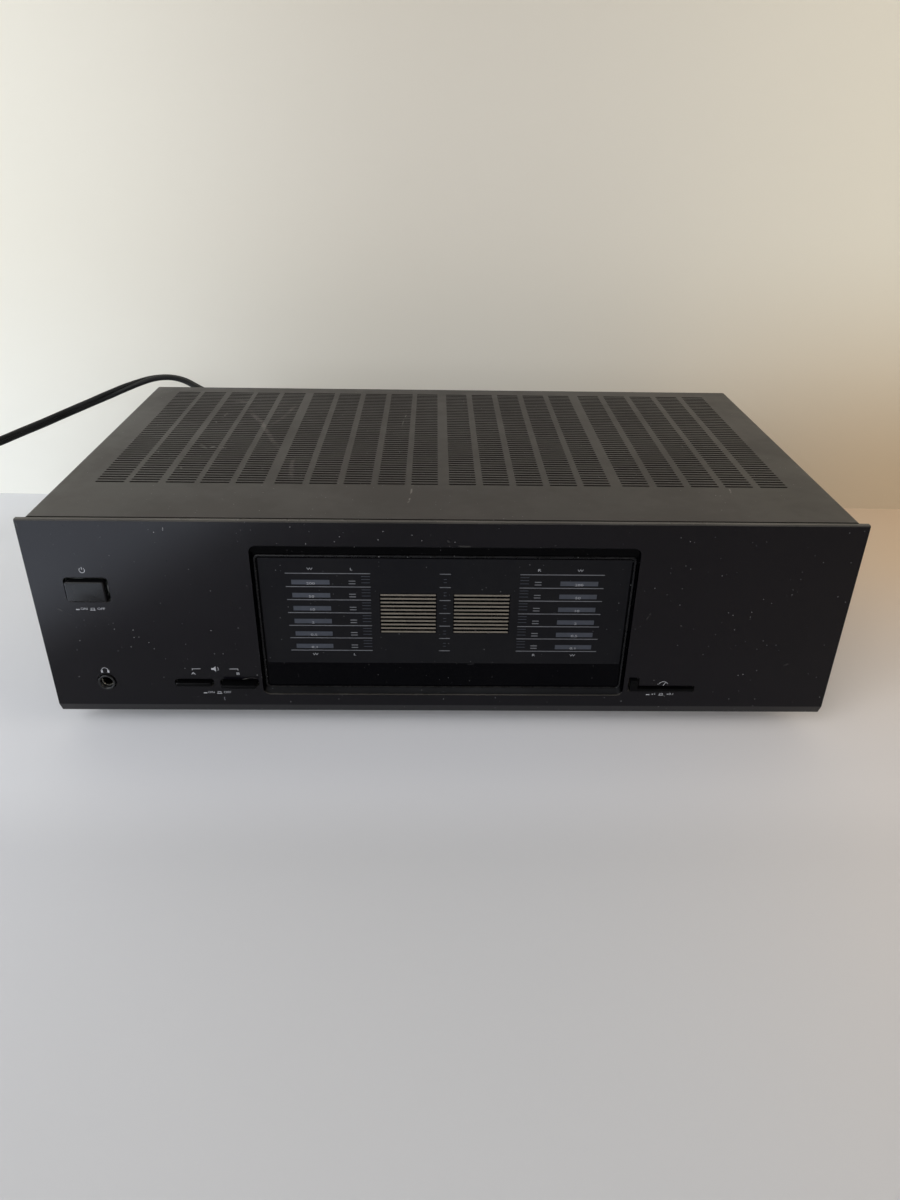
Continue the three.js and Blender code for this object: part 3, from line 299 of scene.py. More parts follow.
class Effect(Enum):
    """Node groups that several finishes share, with their inputs."""

    MOTTLE = {"Scale": 30.0}
    GRAIN = {"Scale": 2500.0}
    BRUSHED = {"Along": 60.0, "Across": 3000.0}
    DUST = {"Film": 0.3, "Specks": 0.3}
    SCUFFS = {"Amount": 0.3, "Scale": 14.0}
    EDGES = {"Radius": 0.0004, "Amount": 0.3}
    STREAKS = {"Amount": 0.3}

    def group(self) -> bpy.types.NodeTree:
        """Gives the effect's node group, built at its first use.

        Returns:
            The group.
        """
        name = self.name.lower()
        if name in bpy.data.node_groups:
            return bpy.data.node_groups[name]
        tree = bpy.data.node_groups.new(name, "ShaderNodeTree")
        for socket, value in self.value.items():
            made = tree.interface.new_socket(name=socket, in_out="INPUT", socket_type="NodeSocketFloat")
            made.default_value = value
        graph = EffectGraph(tree)
        results = getattr(graph, name)()
        for socket in results:
            kind = "NodeSocketVector" if socket == "Normal" else "NodeSocketFloat"
            tree.interface.new_socket(name=socket, in_out="OUTPUT", socket_type=kind)
        graph.add("NodeGroupOutput", results)
        return tree


def blank_material(name: str) -> tuple[bpy.types.Material, Graph]:
    """Makes a material with an empty tree.

    Args:
        name: Its name.

    Returns:
        The material, and its tree.
    """
    material = bpy.data.materials.new(name)
    material.use_nodes = True
    material.node_tree.nodes.clear()
    return material, Graph(material.node_tree)


@dataclass(frozen=True)
class Finish:
    """A painted, moulded or plated surface."""

    name: str
    colour: Colour
    drift: Colour
    roughness: float = 0.5
    spread: float = 0.1
    metallic: float = 0.0
    specular: float = 0.5
    coat: float = 0.0
    coat_rough: float = 0.15
    mottle: float = 30.0
    grain: float = 2500.0
    depth: float = 12e-6
    dust: float = 0.1
    dust_rough: float = 0.3
    specks: float = 0.2
    scuffs: float = 0.0
    streaks: float = 0.0
    edge: float = 0.0
    # Lightened edges: worn paint on most parts, a painted highlight on the keys.
    wear: float = 0.0
    bare_and_highlight: Colour = (0.25, 0.24, 0.22, 1.0)
    dirt: Colour = (0.26, 0.24, 0.21, 1.0)
    fluff: Colour = (0.5, 0.5, 0.51, 1.0)

    def material(self) -> bpy.types.Material:
        """Gives the finish's material, built at its first use.

        Returns:
            The material.
        """
        if self.name in bpy.data.materials:
            return bpy.data.materials[self.name]
        material, graph = blank_material(self.name)
        shader = graph.add("ShaderNodeBsdfPrincipled")
        for name, value in self.inputs(graph).items():
            graph.feed(shader.inputs[name], value)
        graph.add("ShaderNodeOutputMaterial", {"Surface": shader.outputs[0]})
        return material

    def inputs(self, graph: Graph) -> dict[str, Value]:
        """Works out what feeds the Principled shader.

        Args:
            graph: The material's tree.

        Returns:
            Values and sockets by the shader's inputs.
        """
        tone = graph.effect(Effect.MOTTLE, Scale=self.mottle)["Value"]
        dust = graph.effect(Effect.DUST, Film=self.dust, Specks=self.specks)
        bump = graph.add("ShaderNodeBump", {"Height": self.relief(graph), "Distance": self.depth})
        colour = self.tint(graph, graph.mix(tone, self.colour, self.drift))
        if self.edge:
            edges = graph.effect(Effect.EDGES, Radius=self.edge, Amount=self.wear)
            graph.feed(bump.inputs["Normal"], edges["Normal"])
            # Lightens the edges: wear, and on the keys a painted highlight.
            if self.wear:
                colour = graph.mix(edges["Wear"], colour, self.bare_and_highlight)
        if self.scuffs:
            colour = graph.mix(graph.effect(Effect.SCUFFS, Amount=self.scuffs)["Mask"], colour, self.bare_and_highlight)
        if self.streaks:
            colour = graph.mix(graph.effect(Effect.STREAKS, Amount=self.streaks)["Mask"], colour, self.dirt)
        colour = graph.mix(dust["Film"], colour, self.dirt)
        rough = graph.ramp(tone, 0.0, 1.0, self.roughness - self.spread, self.roughness + self.spread)
        return {
            "Base Color": graph.mix(dust["Specks"], colour, self.fluff),
            "Roughness": graph.plus(rough, graph.times(dust["Film"], self.dust_rough)),
            "Metallic": self.metallic, "Specular IOR Level": self.specular,
            "Coat Weight": self.coat, "Coat Roughness": self.coat_rough, "Normal": bump.outputs[0],
        }

    def tint(self, graph: Graph, colour: Socket) -> Socket:
        """Adds the finish's own pattern to its colour; the plain finish has none."""
        return colour

    def relief(self, graph: Graph) -> Socket:
        """Gives the height that the bump reads: a fine grain."""
        return graph.effect(Effect.GRAIN, Scale=self.grain)["Height"]


@dataclass(frozen=True)
class Brushed(Finish):
    """Rolled or drawn metal with fine lines along X."""

    along: float = 60.0
    shade: float = 0.7
    contrast: float = 0.4

    def _lines(self, graph: Graph) -> Sockets:
        """Places the lines."""
        return graph.effect(Effect.BRUSHED, Along=self.along, Across=self.grain)

    def tint(self, graph: Graph, colour: Socket) -> Socket:
        """Shades the lines."""
        share = graph.times(self._lines(graph)["Tone"], self.contrast)
        return graph.mix(share, colour, shaded(self.colour, self.shade))

    def relief(self, graph: Graph) -> Socket:
        """Gives the lines' height."""
        return self._lines(graph)["Height"]


@dataclass(frozen=True)
class Laminated(Finish):
    """Stacked steel sheets whose edges run across the stack."""

    pitch: float = 0.5 * MM
    bands: str = "Y"
    band_scale: float = 0.314
    joint: Colour = (0.01, 0.009, 0.008, 1.0)

    def _bands(self, graph: Graph) -> Socket:
        """Gives the sheets' edges as bands across the stack."""
        values = {
            "Vector": graph.place(), "Scale": self.band_scale / self.pitch, "Distortion": 0.6, "Detail Scale": 3.0,
        }
        return graph.add("ShaderNodeTexWave", values, bands_direction=self.bands).outputs["Fac"]

    def tint(self, graph: Graph, colour: Socket) -> Socket:
        """Darkens the joints between sheets."""
        return graph.mix(graph.ramp(self._bands(graph), 0.0, 0.5, 0.6, 0.0), colour, self.joint)

    def relief(self, graph: Graph) -> Socket:
        """Gives the bands' height."""
        return self._bands(graph)


@dataclass(frozen=True)
class Board(Finish):
    """Lacquered circuit laminate with the copper's pattern showing through."""

    track: float = 90.0
    shine: float = 1.5
    contrast: float = 0.6

    def _tracks(self, graph: Graph) -> Socket:
        """Gives a mask of broad copper areas with thin gaps.

        Args:
            graph: The material's tree.

        Returns:
            The mask.
        """
        values = {"Vector": graph.place(), "Scale": self.track, "Randomness": 0.85}
        cells = graph.add("ShaderNodeTexVoronoi", values, distance="MANHATTAN", feature="DISTANCE_TO_EDGE")
        return graph.ramp(cells.outputs["Distance"], 0.04, 0.07)

    def tint(self, graph: Graph, colour: Socket) -> Socket:
        """Lightens the lacquer over the copper."""
        share = graph.times(self._tracks(graph), self.contrast)
        return graph.mix(share, colour, shaded(self.colour, self.shine))

    def relief(self, graph: Graph) -> Socket:
        """Gives the copper's height."""
        return self._tracks(graph)


@dataclass(frozen=True)
class Ink(Finish):
    """A printed mark's ink."""

    spread: float = 0.06
    mottle: float = 300.0
    grain: float = 4000.0
    depth: float = 3e-6
    dust: float = 0.0
    specks: float = 0.15


GLOSS_BLACK = Finish(
    "gloss_black", srgb(6, 5, 9), srgb(9, 7, 12), roughness=0.22, spread=0.03, specular=0.2, grain=3600, depth=2e-6,
    dust=0.3, specks=0.7, scuffs=0.25, edge=0.35 * MM, wear=0.06, mottle=9,
)
COVER_PAINT = Finish(
    "satin_cover", srgb(27, 25, 24), srgb(33, 30, 29), roughness=0.38, spread=0.05, specular=0.22, grain=2600,
    depth=10e-6, dust=0.13, specks=0.6, scuffs=0.5, mottle=14, dirt=(0.205, 0.178, 0.164, 1.0), streaks=0.3,
)
WALL_BLACK = Finish(
    "frame_black", srgb(1, 1, 2), srgb(3, 3, 4), roughness=0.22, spread=0.04, specular=0.025, grain=3000, depth=3e-6,
    dust=0.09, specks=0.4, mottle=40, dirt=(0.17, 0.17, 0.18, 1.0),
)
BEAD_BLACK = Finish(
    "bead_black", srgb(6, 6, 7), srgb(20, 20, 22), roughness=0.28, spread=0.06, specular=0.22, grain=2600, depth=4e-6,
    dust=0.03, specks=1.0, mottle=220,
)
CORD_SKIN = Finish(
    "cord_skin", srgb(10, 11, 11), srgb(17, 18, 18), roughness=0.42, spread=0.08, specular=0.35, grain=900, depth=20e-6,
    dust=0.03, mottle=60,
)
CAP_PLASTIC = Finish(
    "cap_plastic", srgb(9, 9, 10), srgb(13, 13, 14), roughness=0.28, spread=0.04, specular=0.2, grain=3000, depth=4e-6,
    dust=0.0, specks=0.6, scuffs=0.4, edge=0.25 * MM, wear=0.15, mottle=60,
)
# The keys' light edge line is a painted highlight along their top front edges, made by the edge wear.
KEY_PLASTIC = Finish(
    "key_plastic", srgb(4, 4, 5), srgb(7, 7, 8), roughness=0.4, spread=0.06, specular=0.06, grain=3000, depth=6e-6,
    dust=0.0, specks=0.8, edge=0.25 * MM, wear=0.7, mottle=90, bare_and_highlight=srgb(96, 96, 98),
)
BEZEL_PLASTIC = Finish(
    "bezel_plastic", srgb(10, 10, 11), srgb(15, 15, 16), roughness=0.24, spread=0.05, specular=0.4, grain=3000,
    depth=4e-6, dust=0.02, specks=0.4, edge=0.3 * MM, wear=0.15, mottle=40,
)
MOULDED_BLACK = Finish(
    "moulded_black", srgb(20, 20, 21), srgb(28, 28, 29), roughness=0.42, spread=0.08, grain=1800, dust=0.25,
    specks=0.3, edge=0.4 * MM, wear=0.25, mottle=50,
)
MOULDED_RED = Finish(
    "moulded_red", srgb(150, 26, 22), srgb(122, 18, 16), roughness=0.38, spread=0.08, grain=1800, depth=10e-6, dust=0.2,
    edge=0.4 * MM, wear=0.2, mottle=60, bare_and_highlight=srgb(190, 96, 88),
)
RUBBER = Finish(
    "foot_rubber", srgb(24, 24, 24), srgb(34, 33, 32), roughness=0.78, spread=0.08, specular=0.3, grain=1200,
    depth=25e-6, dust=0.3, specks=0.4, mottle=70,
)
PLATED = Brushed(
    "zinc_plate", srgb(176, 176, 170), srgb(150, 149, 142), roughness=0.36, spread=0.08, metallic=0.6, grain=2200,
    depth=5e-6, dust=0.35, specks=0.25, edge=0.3 * MM, mottle=40,
)
SCREW_STEEL = Finish(
    "screw_black", srgb(30, 30, 31), srgb(44, 43, 42), roughness=0.34, spread=0.08, metallic=0.6, grain=1800,
    depth=6e-6, dust=0.15, specks=0.15, edge=0.25 * MM, wear=0.8, mottle=200, bare_and_highlight=srgb(150, 148, 142),
)
EXTRUSION = Brushed(
    "extruded_aluminium", srgb(196, 197, 198), srgb(168, 168, 168), roughness=0.4, spread=0.08, metallic=0.25,
    grain=1600, depth=8e-6, dust=0.45, specks=0.3,
)
EPOXY = Finish(
    "transistor_epoxy", srgb(22, 22, 23), srgb(30, 29, 28), grain=2400, depth=10e-6, dust=0.35, specks=0.3,
    edge=0.3 * MM, mottle=120,
)
CORE_STEEL = Laminated(
    "core_laminations", srgb(74, 70, 66), srgb(92, 84, 74), roughness=0.4, metallic=0.7, depth=90e-6, dust=0.35,
    mottle=50,
)
TAPE = Laminated(
    "winding_tape", srgb(196, 150, 58), srgb(168, 120, 40), roughness=0.28, specular=0.6, depth=60e-6, dust=0.3,
    mottle=40, pitch=3.2 * MM, bands="Z",
)
SLEEVE = Finish(
    "shrunk_sleeve", srgb(26, 38, 62), srgb(34, 46, 70), roughness=0.22, spread=0.05, specular=0.6, coat=0.3, grain=400,
    depth=14e-6, dust=0.3, mottle=60,
)
NICKEL = Finish(
    "nickel_plate", srgb(216, 213, 202), srgb(186, 182, 170), roughness=0.16, spread=0.06, metallic=1.0, grain=1400,
    depth=3e-6, dust=0.12, specks=0.1, mottle=90,
)
GOLD = replace(NICKEL, name="gold_plate", colour=srgb(222, 184, 104), drift=srgb(196, 152, 76), roughness=0.18)
LAMINATE = Board(
    "board_laminate", srgb(84, 104, 64), srgb(98, 114, 70), roughness=0.36, spread=0.06, grain=900, depth=8e-6,
    dust=0.3, mottle=25,
)
TUBE_GLASS = Finish(
    "clear_glass", srgb(30, 36, 40), srgb(40, 46, 50), roughness=0.08, spread=0.03, specular=0.6, grain=300, depth=3e-6,
    specks=0.1,
)
SMOKED = Finish(
    "smoked_window", srgb(1, 1, 3), srgb(3, 3, 5), roughness=0.06, spread=0.02, specular=0.05, grain=200, depth=1e-6,
    specks=0.22, scuffs=0.15, mottle=12, bare_and_highlight=(0.08, 0.08, 0.085, 1.0),
)
METER_FIELD = Finish(
    "meter_field", srgb(19, 19, 22), srgb(22, 22, 24), roughness=0.34, spread=0.04, specular=0.07, grain=3000,
    depth=2e-6, specks=0.4, mottle=20,
)
WHITE_INK = Ink("white_ink", srgb(166, 167, 171), srgb(148, 149, 154), depth=4e-6, specks=0.0, mottle=400)
PALE_INK = replace(WHITE_INK, name="pale_ink", colour=srgb(150, 151, 156), drift=srgb(132, 133, 138))
GREY_INK = Ink("grey_ink", srgb(100, 101, 106), srgb(88, 89, 94), roughness=0.45, specks=0.1)
BLUE_INK = Ink("blue_grey_ink", srgb(49, 53, 63), srgb(43, 47, 56), roughness=0.4, spread=0.05)
GOLD_INK = Ink("gold_ink", srgb(106, 99, 89), srgb(94, 88, 79), roughness=0.42, spread=0.05, mottle=200)


def linked(name: str, data: bpy.types.ID) -> Thing:
    """Puts an object in the scene.

    Args:
        name: The object's name.
        data: Its mesh, lamp, camera or lettering.

    Returns:
        The object.
    """
    thing = bpy.data.objects.new(name, data)
    bpy.context.scene.collection.objects.link(thing)
    return thing


def set_down(name: str, mesh: BMesh) -> Thing:
    """Turns a bmesh into an object.

    Args:
        name: The object's name.
        mesh: Its mesh, which is freed.

    Returns:
        The object.
    """
    data = bpy.data.meshes.new(name)
    mesh.to_mesh(data)
    mesh.free()
    return linked(name, data)


def materials_on(thing: Thing, finish: Finish) -> None:
    """Puts a finish on an object.

    Args:
        thing: The object.
        finish: Its finish.
    """
    if not thing.material_slots:
        thing.data.materials.append(finish.material())
    for slot in thing.material_slots:
        slot.material = finish.material()


def dress(nodes: Union[str, Sequence[str]], finish: Finish) -> None:
    """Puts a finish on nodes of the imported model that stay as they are.

    Args:
        nodes: Their names.
        finish: Their finish.
    """
    for name in [nodes] if isinstance(nodes, str) else nodes:
        materials_on(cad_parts[name], finish)
        LOG.info("%s: %s", name, finish.name)


def made(name: str, mesh: BMesh, finish: Finish, body: str = CHASSIS, stands_for: Sequence[str] = (),
         slot: Optional[str] = None, sharp: float = 32.0) -> Thing:
    """Turns a bmesh into a piece that rides on a body.

    Args:
        name: The piece's name.
        mesh: Its mesh, which is freed.
        finish: Its finish.
        body: The body that carries it.
        stands_for: Nodes that it replaces.
        slot: A material slot's name for the piece; not used.
        sharp: Angle in degrees past which an edge stays sharp.

    Returns:
        The piece.
    """
    thing = set_down(name, mesh)
    thing.data.shade_smooth()
    thing.data.set_sharp_from_angle(angle=math.radians(sharp))
    materials_on(thing, finish)
    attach(thing, body)
    if stands_for:
        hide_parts(*stands_for)
    LOG.info("%s: %d faces, %s", name, len(thing.data.polygons), finish.name)
    return thing


def only(kind: type, geom: Sequence) -> list:
    """Picks the vertices or the edges out of an operator's result."""
    return [item for item in geom if isinstance(item, kind)]


def plate(mesh: BMesh, wide: float, long: float, centre: Place = (0, 0, 0)) -> list[BMVert]:
    """Adds a flat rectangle to a mesh.

    Args:
        mesh: The mesh.
        wide: The rectangle's size along X.
        long: Its size along Y.
        centre: Its middle.

    Returns:
        Its corners.
    """
    verts = bmesh.ops.create_grid(mesh, x_segments=1, y_segments=1, size=0.5)["verts"]
    bmesh.ops.scale(mesh, vec=(wide, long, 1), verts=verts)
    bmesh.ops.translate(mesh, vec=centre, verts=verts)
    return verts


def bevelled(mesh: BMesh, geom: Sequence, width: float, segments: int, affect: str, clamp: bool = False) -> None:
    """Bevels edges or corners.

    Args:
        mesh: The mesh.
        geom: The edges or corners.
        width: How wide the bevel is.
        segments: Faces across it.
        affect: EDGES or VERTICES.
        clamp: Whether bevels stop where they meet.
    """
    bmesh.ops.bevel(
        mesh, geom=geom, offset=width, offset_type="OFFSET", segments=segments, profile=0.5, affect=affect,
        clamp_overlap=clamp, material=-1,
    )


def outward(mesh: BMesh) -> None:
    """Turns a mesh's faces outwards."""
    bmesh.ops.recalc_face_normals(mesh, faces=mesh.faces)


def pulled(mesh: BMesh, edges: Sequence[BMEdge], step: Place) -> None:
    """Extrudes edges by a step."""
    verts = only(BMVert, bmesh.ops.extrude_edge_only(mesh, edges=edges)["geom"])
    bmesh.ops.translate(mesh, vec=step, verts=verts)


@dataclass
class Studio:
    """Floor, wall, light and camera."""

    eye: Place = (-6.48 * MM, -530.17 * MM, 313.70 * MM)
    yaw: float = math.radians(1.286)
    pitch: float = math.radians(29.208)
    roll: float = math.radians(0.984)
    lens: float = 25.87
    film: float = 36.0
    clip: Span = (0.01, 20.0)
    wall_left: Span = (-409 * MM, 230.9 * MM)
    wall_right: Span = (421 * MM, 210.9 * MM)
    reach: float = 4.0
    side: float = 0.45
    # The floor's and wall's colours hold painted light and shade: cool at the left, warm at the right, lighter towards
    # the object, with a painted brown shadow low on the wall at the right.
    floor_painted_light_rows: tuple[Row, ...] = (
        (-0.5, srgb(184, 185, 188), srgb(181, 181, 184), srgb(190, 184, 180)),
        (-0.23, srgb(199, 201, 208), srgb(184, 184, 187), srgb(208, 199, 192)),
        (-0.17, srgb(209, 211, 217), srgb(198, 198, 202), srgb(211, 202, 195)),
        (0.12, srgb(216, 217, 220), srgb(208, 204, 202), srgb(202, 176, 146)),
    )
    wall_painted_light_rows: tuple[Row, ...] = (
        (0.02, srgb(226, 226, 220), srgb(184, 180, 171), srgb(178, 158, 130)),
        (0.25, srgb(220, 217, 206), srgb(196, 190, 179), srgb(213, 206, 189)),
        (0.7, srgb(211, 205, 192), srgb(173, 165, 149), srgb(212, 202, 183)),
    )
    floor_glow: float = 0.1
    wall_glow: float = 0.2
    # A painted pool of light: a patch of floor at the left that glows for glossy rays only.
    painted_pool: float = 3.0
    painted_pool_colour: Colour = (0.72, 0.79, 0.92, 1.0)
    painted_pool_slant: float = 0.457
    patch_right: Span = (-0.44, -0.335)
    patch_left: Span = (-0.95, -0.6)
    painted_pool_back: Span = (-0.05, 0.05)
    fill: float = 0.5
    fill_colour: Colour = (0.96, 0.98, 1.0, 1.0)
    dusk: float = 0.2
    aim: Place = (0, 0, 0.05)
    lamps: tuple[tuple[str, Place, float, float, Place], ...] = (
        ("key", (-1.2, -1.7, 1.6), 1.6, 34.0, (0.97, 0.985, 1.0)),
        ("side", (-0.85, -0.75, 0.35), 0.45, 2.2, (0.86, 0.94, 1.0)),
        ("warm", (1.6, -0.6, 1.1), 1.2, 7.0, (1.0, 0.88, 0.7)),
    )

    def camera(self) -> None:
        """Sets the camera at the photograph's viewpoint."""
        data = bpy.data.cameras.new("viewpoint")
        data.lens, data.sensor_width = self.lens, self.film
        data.clip_start, data.clip_end = self.clip
        thing = linked("viewpoint", data)
        flat = Vector((math.sin(self.yaw), math.cos(self.yaw), 0.0))
        ahead = math.cos(self.pitch) * flat - math.sin(self.pitch) * Vector((0, 0, 1))
        level = Vector((math.cos(self.yaw), -math.sin(self.yaw), 0.0))
        up = level.cross(ahead)
        right = math.cos(self.roll) * level + math.sin(self.roll) * up
        top = -math.sin(self.roll) * level + math.cos(self.roll) * up
        turn = Matrix((right, top, -ahead)).transposed().to_4x4()
        thing.matrix_world = Matrix.Translation(self.eye) @ turn
        bpy.context.scene.camera = thing

    def _tone_and_painted_light(self, graph: Graph, rows: Sequence[Row], along: Socket, x: Socket) -> Socket:
        """Blends a surface's colours over its length and width, with painted light and shade in them.

        Args:
            graph: The material's tree.
            rows: Places along the surface, and the colours there at its left, middle and right, which hold painted
                light and shade.
            along: Where on it a point lies.
            x: Its place along X.

        Returns:
            The colour.
        """
        tone, reached = None, 0.0
        for place, left, middle, right in rows:
            row = graph.mix(graph.ramp(x, -self.side, 0.0), left, middle)
            row = graph.mix(graph.ramp(x, 0.0, self.side), row, right)
            tone = graph.mix(graph.ramp(along, reached, place), tone, row) if tone else row
            reached = place
        return graph.mix(graph.times(graph.noise(6.0), 0.05), tone, (0.3, 0.3, 0.3, 1.0))

    def _surface(self, name: str) -> bpy.types.Material:
        """Makes the finish of the floor or wall, with painted light and shade, seen from its front only.

        A painted pool of light glows on the floor at the left, outside the view, for glossy rays only, and the glossy
        front mirrors it.

        Args:
            name: Floor or wall.

        Returns:
            The material.
        """
        material, graph = blank_material(f"{name}_paint")
        axes = graph.split(graph.place())
        floor = name == "floor"
        rows, glow = (self.floor_painted_light_rows, self.floor_glow) if floor else (self.wall_painted_light_rows, self.wall_glow)
        tone = self._tone_and_painted_light(graph, rows, axes["Y" if floor else "Z"], axes["X"])
        rays = graph.add("ShaderNodeLightPath").outputs
        seen = graph.plus(rays["Is Glossy Ray"], rays["Is Transmission Ray"], rays["Is Camera Ray"])
        shine, strength = tone, graph.times(seen, glow)
        # Painted pool of light on the floor, seen only in reflections.
        if floor:
            across = graph.plus(axes["X"], graph.times(axes["Y"], self.painted_pool_slant))
            lit = graph.times(
                graph.fade(across, *self.patch_right), graph.ramp(across, *self.patch_left),
                graph.fade(axes["Y"], *self.painted_pool_back), rays["Is Glossy Ray"],
            )
            shine = graph.mix(lit, tone, self.painted_pool_colour)
            strength = graph.plus(strength, graph.times(lit, self.painted_pool))
        face = graph.add("ShaderNodeBsdfPrincipled", {
            "Base Color": tone, "Roughness": 0.65, "Emission Color": shine, "Emission Strength": strength,
        })
        clear = graph.add("ShaderNodeBsdfTransparent")
        behind = graph.add("ShaderNodeNewGeometry").outputs["Backfacing"]
        both = graph.add("ShaderNodeMixShader", {0: behind, 1: face.outputs[0], 2: clear.outputs[0]})
        graph.add("ShaderNodeOutputMaterial", {"Surface": both.outputs[0]})
        return material

    def room(self) -> None:
        """Lays the floor and stands the wall behind the object."""
        for name in ("floor", "wall"):
            mesh = bmesh.new()
            plate(mesh, 2 * self.reach, 2 * self.reach)
            if name == "wall":
                left, right = Vector((*self.wall_left, 0)), Vector((*self.wall_right, 0))
                turn = math.atan2(right.y - left.y, right.x - left.x)
                stand = Matrix.Rotation(turn, 4, "Z") @ Matrix.Rotation(math.pi / 2, 4, "X")
                middle = (left + right) / 2 + Vector((0, 0, self.reach))
                bmesh.ops.transform(mesh, matrix=Matrix.Translation(middle) @ stand, verts=mesh.verts)
            thing = set_down(name, mesh)
            thing.data.materials.append(self._surface(name))

    def lights(self) -> None:
        """Hangs a large soft lamp at the front left, a warmer one at the right, and fills from all round.

        The gloss sees the room in front of the object darker than the rest.
        """
        world = bpy.data.worlds.new("fill")
        bpy.context.scene.world = world
        world.use_nodes = True
        graph = Graph(world.node_tree)
        toward = graph.split(graph.add("ShaderNodeTexCoord").outputs["Generated"])["Y"]
        mirrored = graph.add("ShaderNodeLightPath").outputs["Is Glossy Ray"]
        front = graph.times(graph.fade(toward, -0.5, 0.0), mirrored)
        back = world.node_tree.nodes["Background"]
        back.inputs["Color"].default_value = self.fill_colour
        graph.feed(back.inputs["Strength"], graph.ramp(front, 0.0, 1.0, self.fill, self.fill * self.dusk))
        for name, place, size, power, colour in self.lamps:
            data = bpy.data.lights.new(name, "AREA")
            data.size, data.energy, data.color = size, power, colour
            lamp = linked(name, data)
            lamp.location = place
            lamp.rotation_euler = (Vector(self.aim) - Vector(place)).to_track_quat("-Z", "Y").to_euler()
        bpy.context.scene.view_settings.view_transform = "Standard"

    def build(self) -> None:
        """Sets up the whole studio."""
        self.camera()
        self.room()
        self.lights()
        LOG.info("studio: ready")


@dataclass
class MainsLead:
    """The flat twin lead, its coil, the tie round it, the plug and the strain relief."""

    start: Place = (-170 * MM, 148.6 * MM, 86 * MM)
    boot_end: Place = (-170 * MM, 148.3 * MM, 86 * MM)
    route: tuple[Place, ...] = (
        (0, 0, 0), (0, 10, 0), (-0.7, 20.5, 1.3), (-4.5, 31.8, 5.2), (-13, 41, 12), (-25, 45.5, 20),
        (-37.3, 46.7, 26.7), (-45.5, 47, 31.2), (-53.2, 46.3, 33.8), (-61.8, 44.5, 34.9), (-73, 41.4, 34),
        (-89.4, 35, 29.6), (-105.3, 27, 24.2), (-120.8, 18, 18.9), (-135.7, 8, 14), (-149.8, -2, 9.3),
        (-163.4, -12.8, 5.3), (-176.2, -24, 1.5), (-194, -35.4, -4), (-213, -46.5, -16.8), (-229, -55, -34.5),
        (-242, -61.6, -53), (-254.6, -68.2, -68), (-265.5, -74.5, -78.4), (-276, -80.6, -82.2), (-282, -84.1, -82.5),
    )
    wide: float = 7 * MM
    lobe: float = 2.1 * MM
    waist: float = 1.3 * MM
    turns: float = 6 + 1 / 6
    climb: float = 0.25
    outer: float = 47.7 * MM
    pitch: float = 6 * MM
    layer: float = 7.6 * MM
    lead: float = 7.3 * MM
    tail: float = 34 * MM
    steps: int = 60
    leans: tuple[tuple[int, Span], ...] = (
        (1, (10 * MM, 34 * MM)), (-1, (42 * MM, 72 * MM)), (1, (100 * MM, 170 * MM)),
    )
    tie_turn: float = 0.583
    tie_wide: float = 7 * MM
    tie_thick: float = 0.9 * MM
    tie_slack: float = 0.5 * MM
    tie_corner: float = 3 * MM
    tie_spread: float = 0.09

    def free_line(self) -> list[Vector]:
        """Gives the points of the free stretch, on one smooth curve through the route.

        Returns:
            Points about 2.5 mm apart.
        """
        start = Vector(self.start)
        knots = [start + Vector(step) * MM for step in self.route]
        knots = [2 * knots[0] - knots[1], *knots, 2 * knots[-1] - knots[-2]]
        line: list[Vector] = []
        for before, here, there, after in zip(knots, knots[1:], knots[2:], knots[3:]):
            gaps = [max((b - a).length ** 0.5, 1e-4) for a, b in ((before, here), (here, there), (there, after))]
            first, middle, last = gaps
            slope = (there - here) / middle
            leave = ((here - before) / first - (there - before) / (first + middle) + slope) * middle
            reach = (slope - (after - here) / (middle + last) + (after - there) / last) * middle
            count = max(2, round((there - here).length / (2.5 * MM)))
            for step in range(count):
                t = step / count
                line.append(
                    (2 * t**3 - 3 * t**2 + 1) * here + (t**3 - 2 * t**2 + t) * leave
                    + (3 * t**2 - 2 * t**3) * there + (t**3 - t**2) * reach
                )
        line.append(knots[-2])
        return line

    def coil_line(self, free: Sequence[Vector]) -> list[Vector]:
        """Gives the points of the coil and of its tail.

        Args:
            free: The free stretch that it carries on.

        Returns:
            Points from the free stretch's end to the plug.
        """
        heading = free[-1] - free[-2]
        heading.z = 0
        heading.normalize()
        left = Vector((-heading.y, heading.x, 0))
        entry = free[-1] + self.lead * heading
        self.centre = entry + self.outer * left
        self.first_angle = math.atan2(-left.y, -left.x)
        line = [free[-1] + heading * self.lead * share for share in (0.35, 0.7)]
        count = round(self.turns * self.steps)
        for step in range(count + 1):
            turn = self.turns * step / count
            radius = self.outer - self.pitch * min(turn, self.turns - turn)
            rise = self.layer * smooth(turn, self.turns / 2 - self.climb, self.turns / 2 + self.climb)
            angle = self.first_angle + 2 * math.pi * turn
            away = (turn - self.tie_turn + 0.5) % 1.0 - 0.5
            lift = self.tie_thick * math.exp(-((away / self.tie_spread) ** 2))
            point = self.centre + radius * Vector((math.cos(angle), math.sin(angle), 0))
            point.z = free[-1].z + rise + lift
            line.append(point)
        along = (line[-1] - line[-2]).normalized()
        along.z = 0
        line += [line[-1] + along * self.tail * share for share in (0.25, 0.5, 0.75, 1.0)]
        return line

    def section(self) -> list[Vector]:
        """Gives the outline of the twin section, wide along its second direction.

        Returns:
            Its points, from one side of the waist round both lobes.
        """
        middle, angles = self.wide / 2 - self.lobe, [math.radians(degrees) for degrees in range(-30, 211, 30)]
        right = [Vector((self.lobe * math.cos(a), middle + self.lobe * math.sin(a))) for a in angles]
        return [Vector((self.waist, 0)), *right, Vector((-self.waist, 0)), *[-point for point in right]]

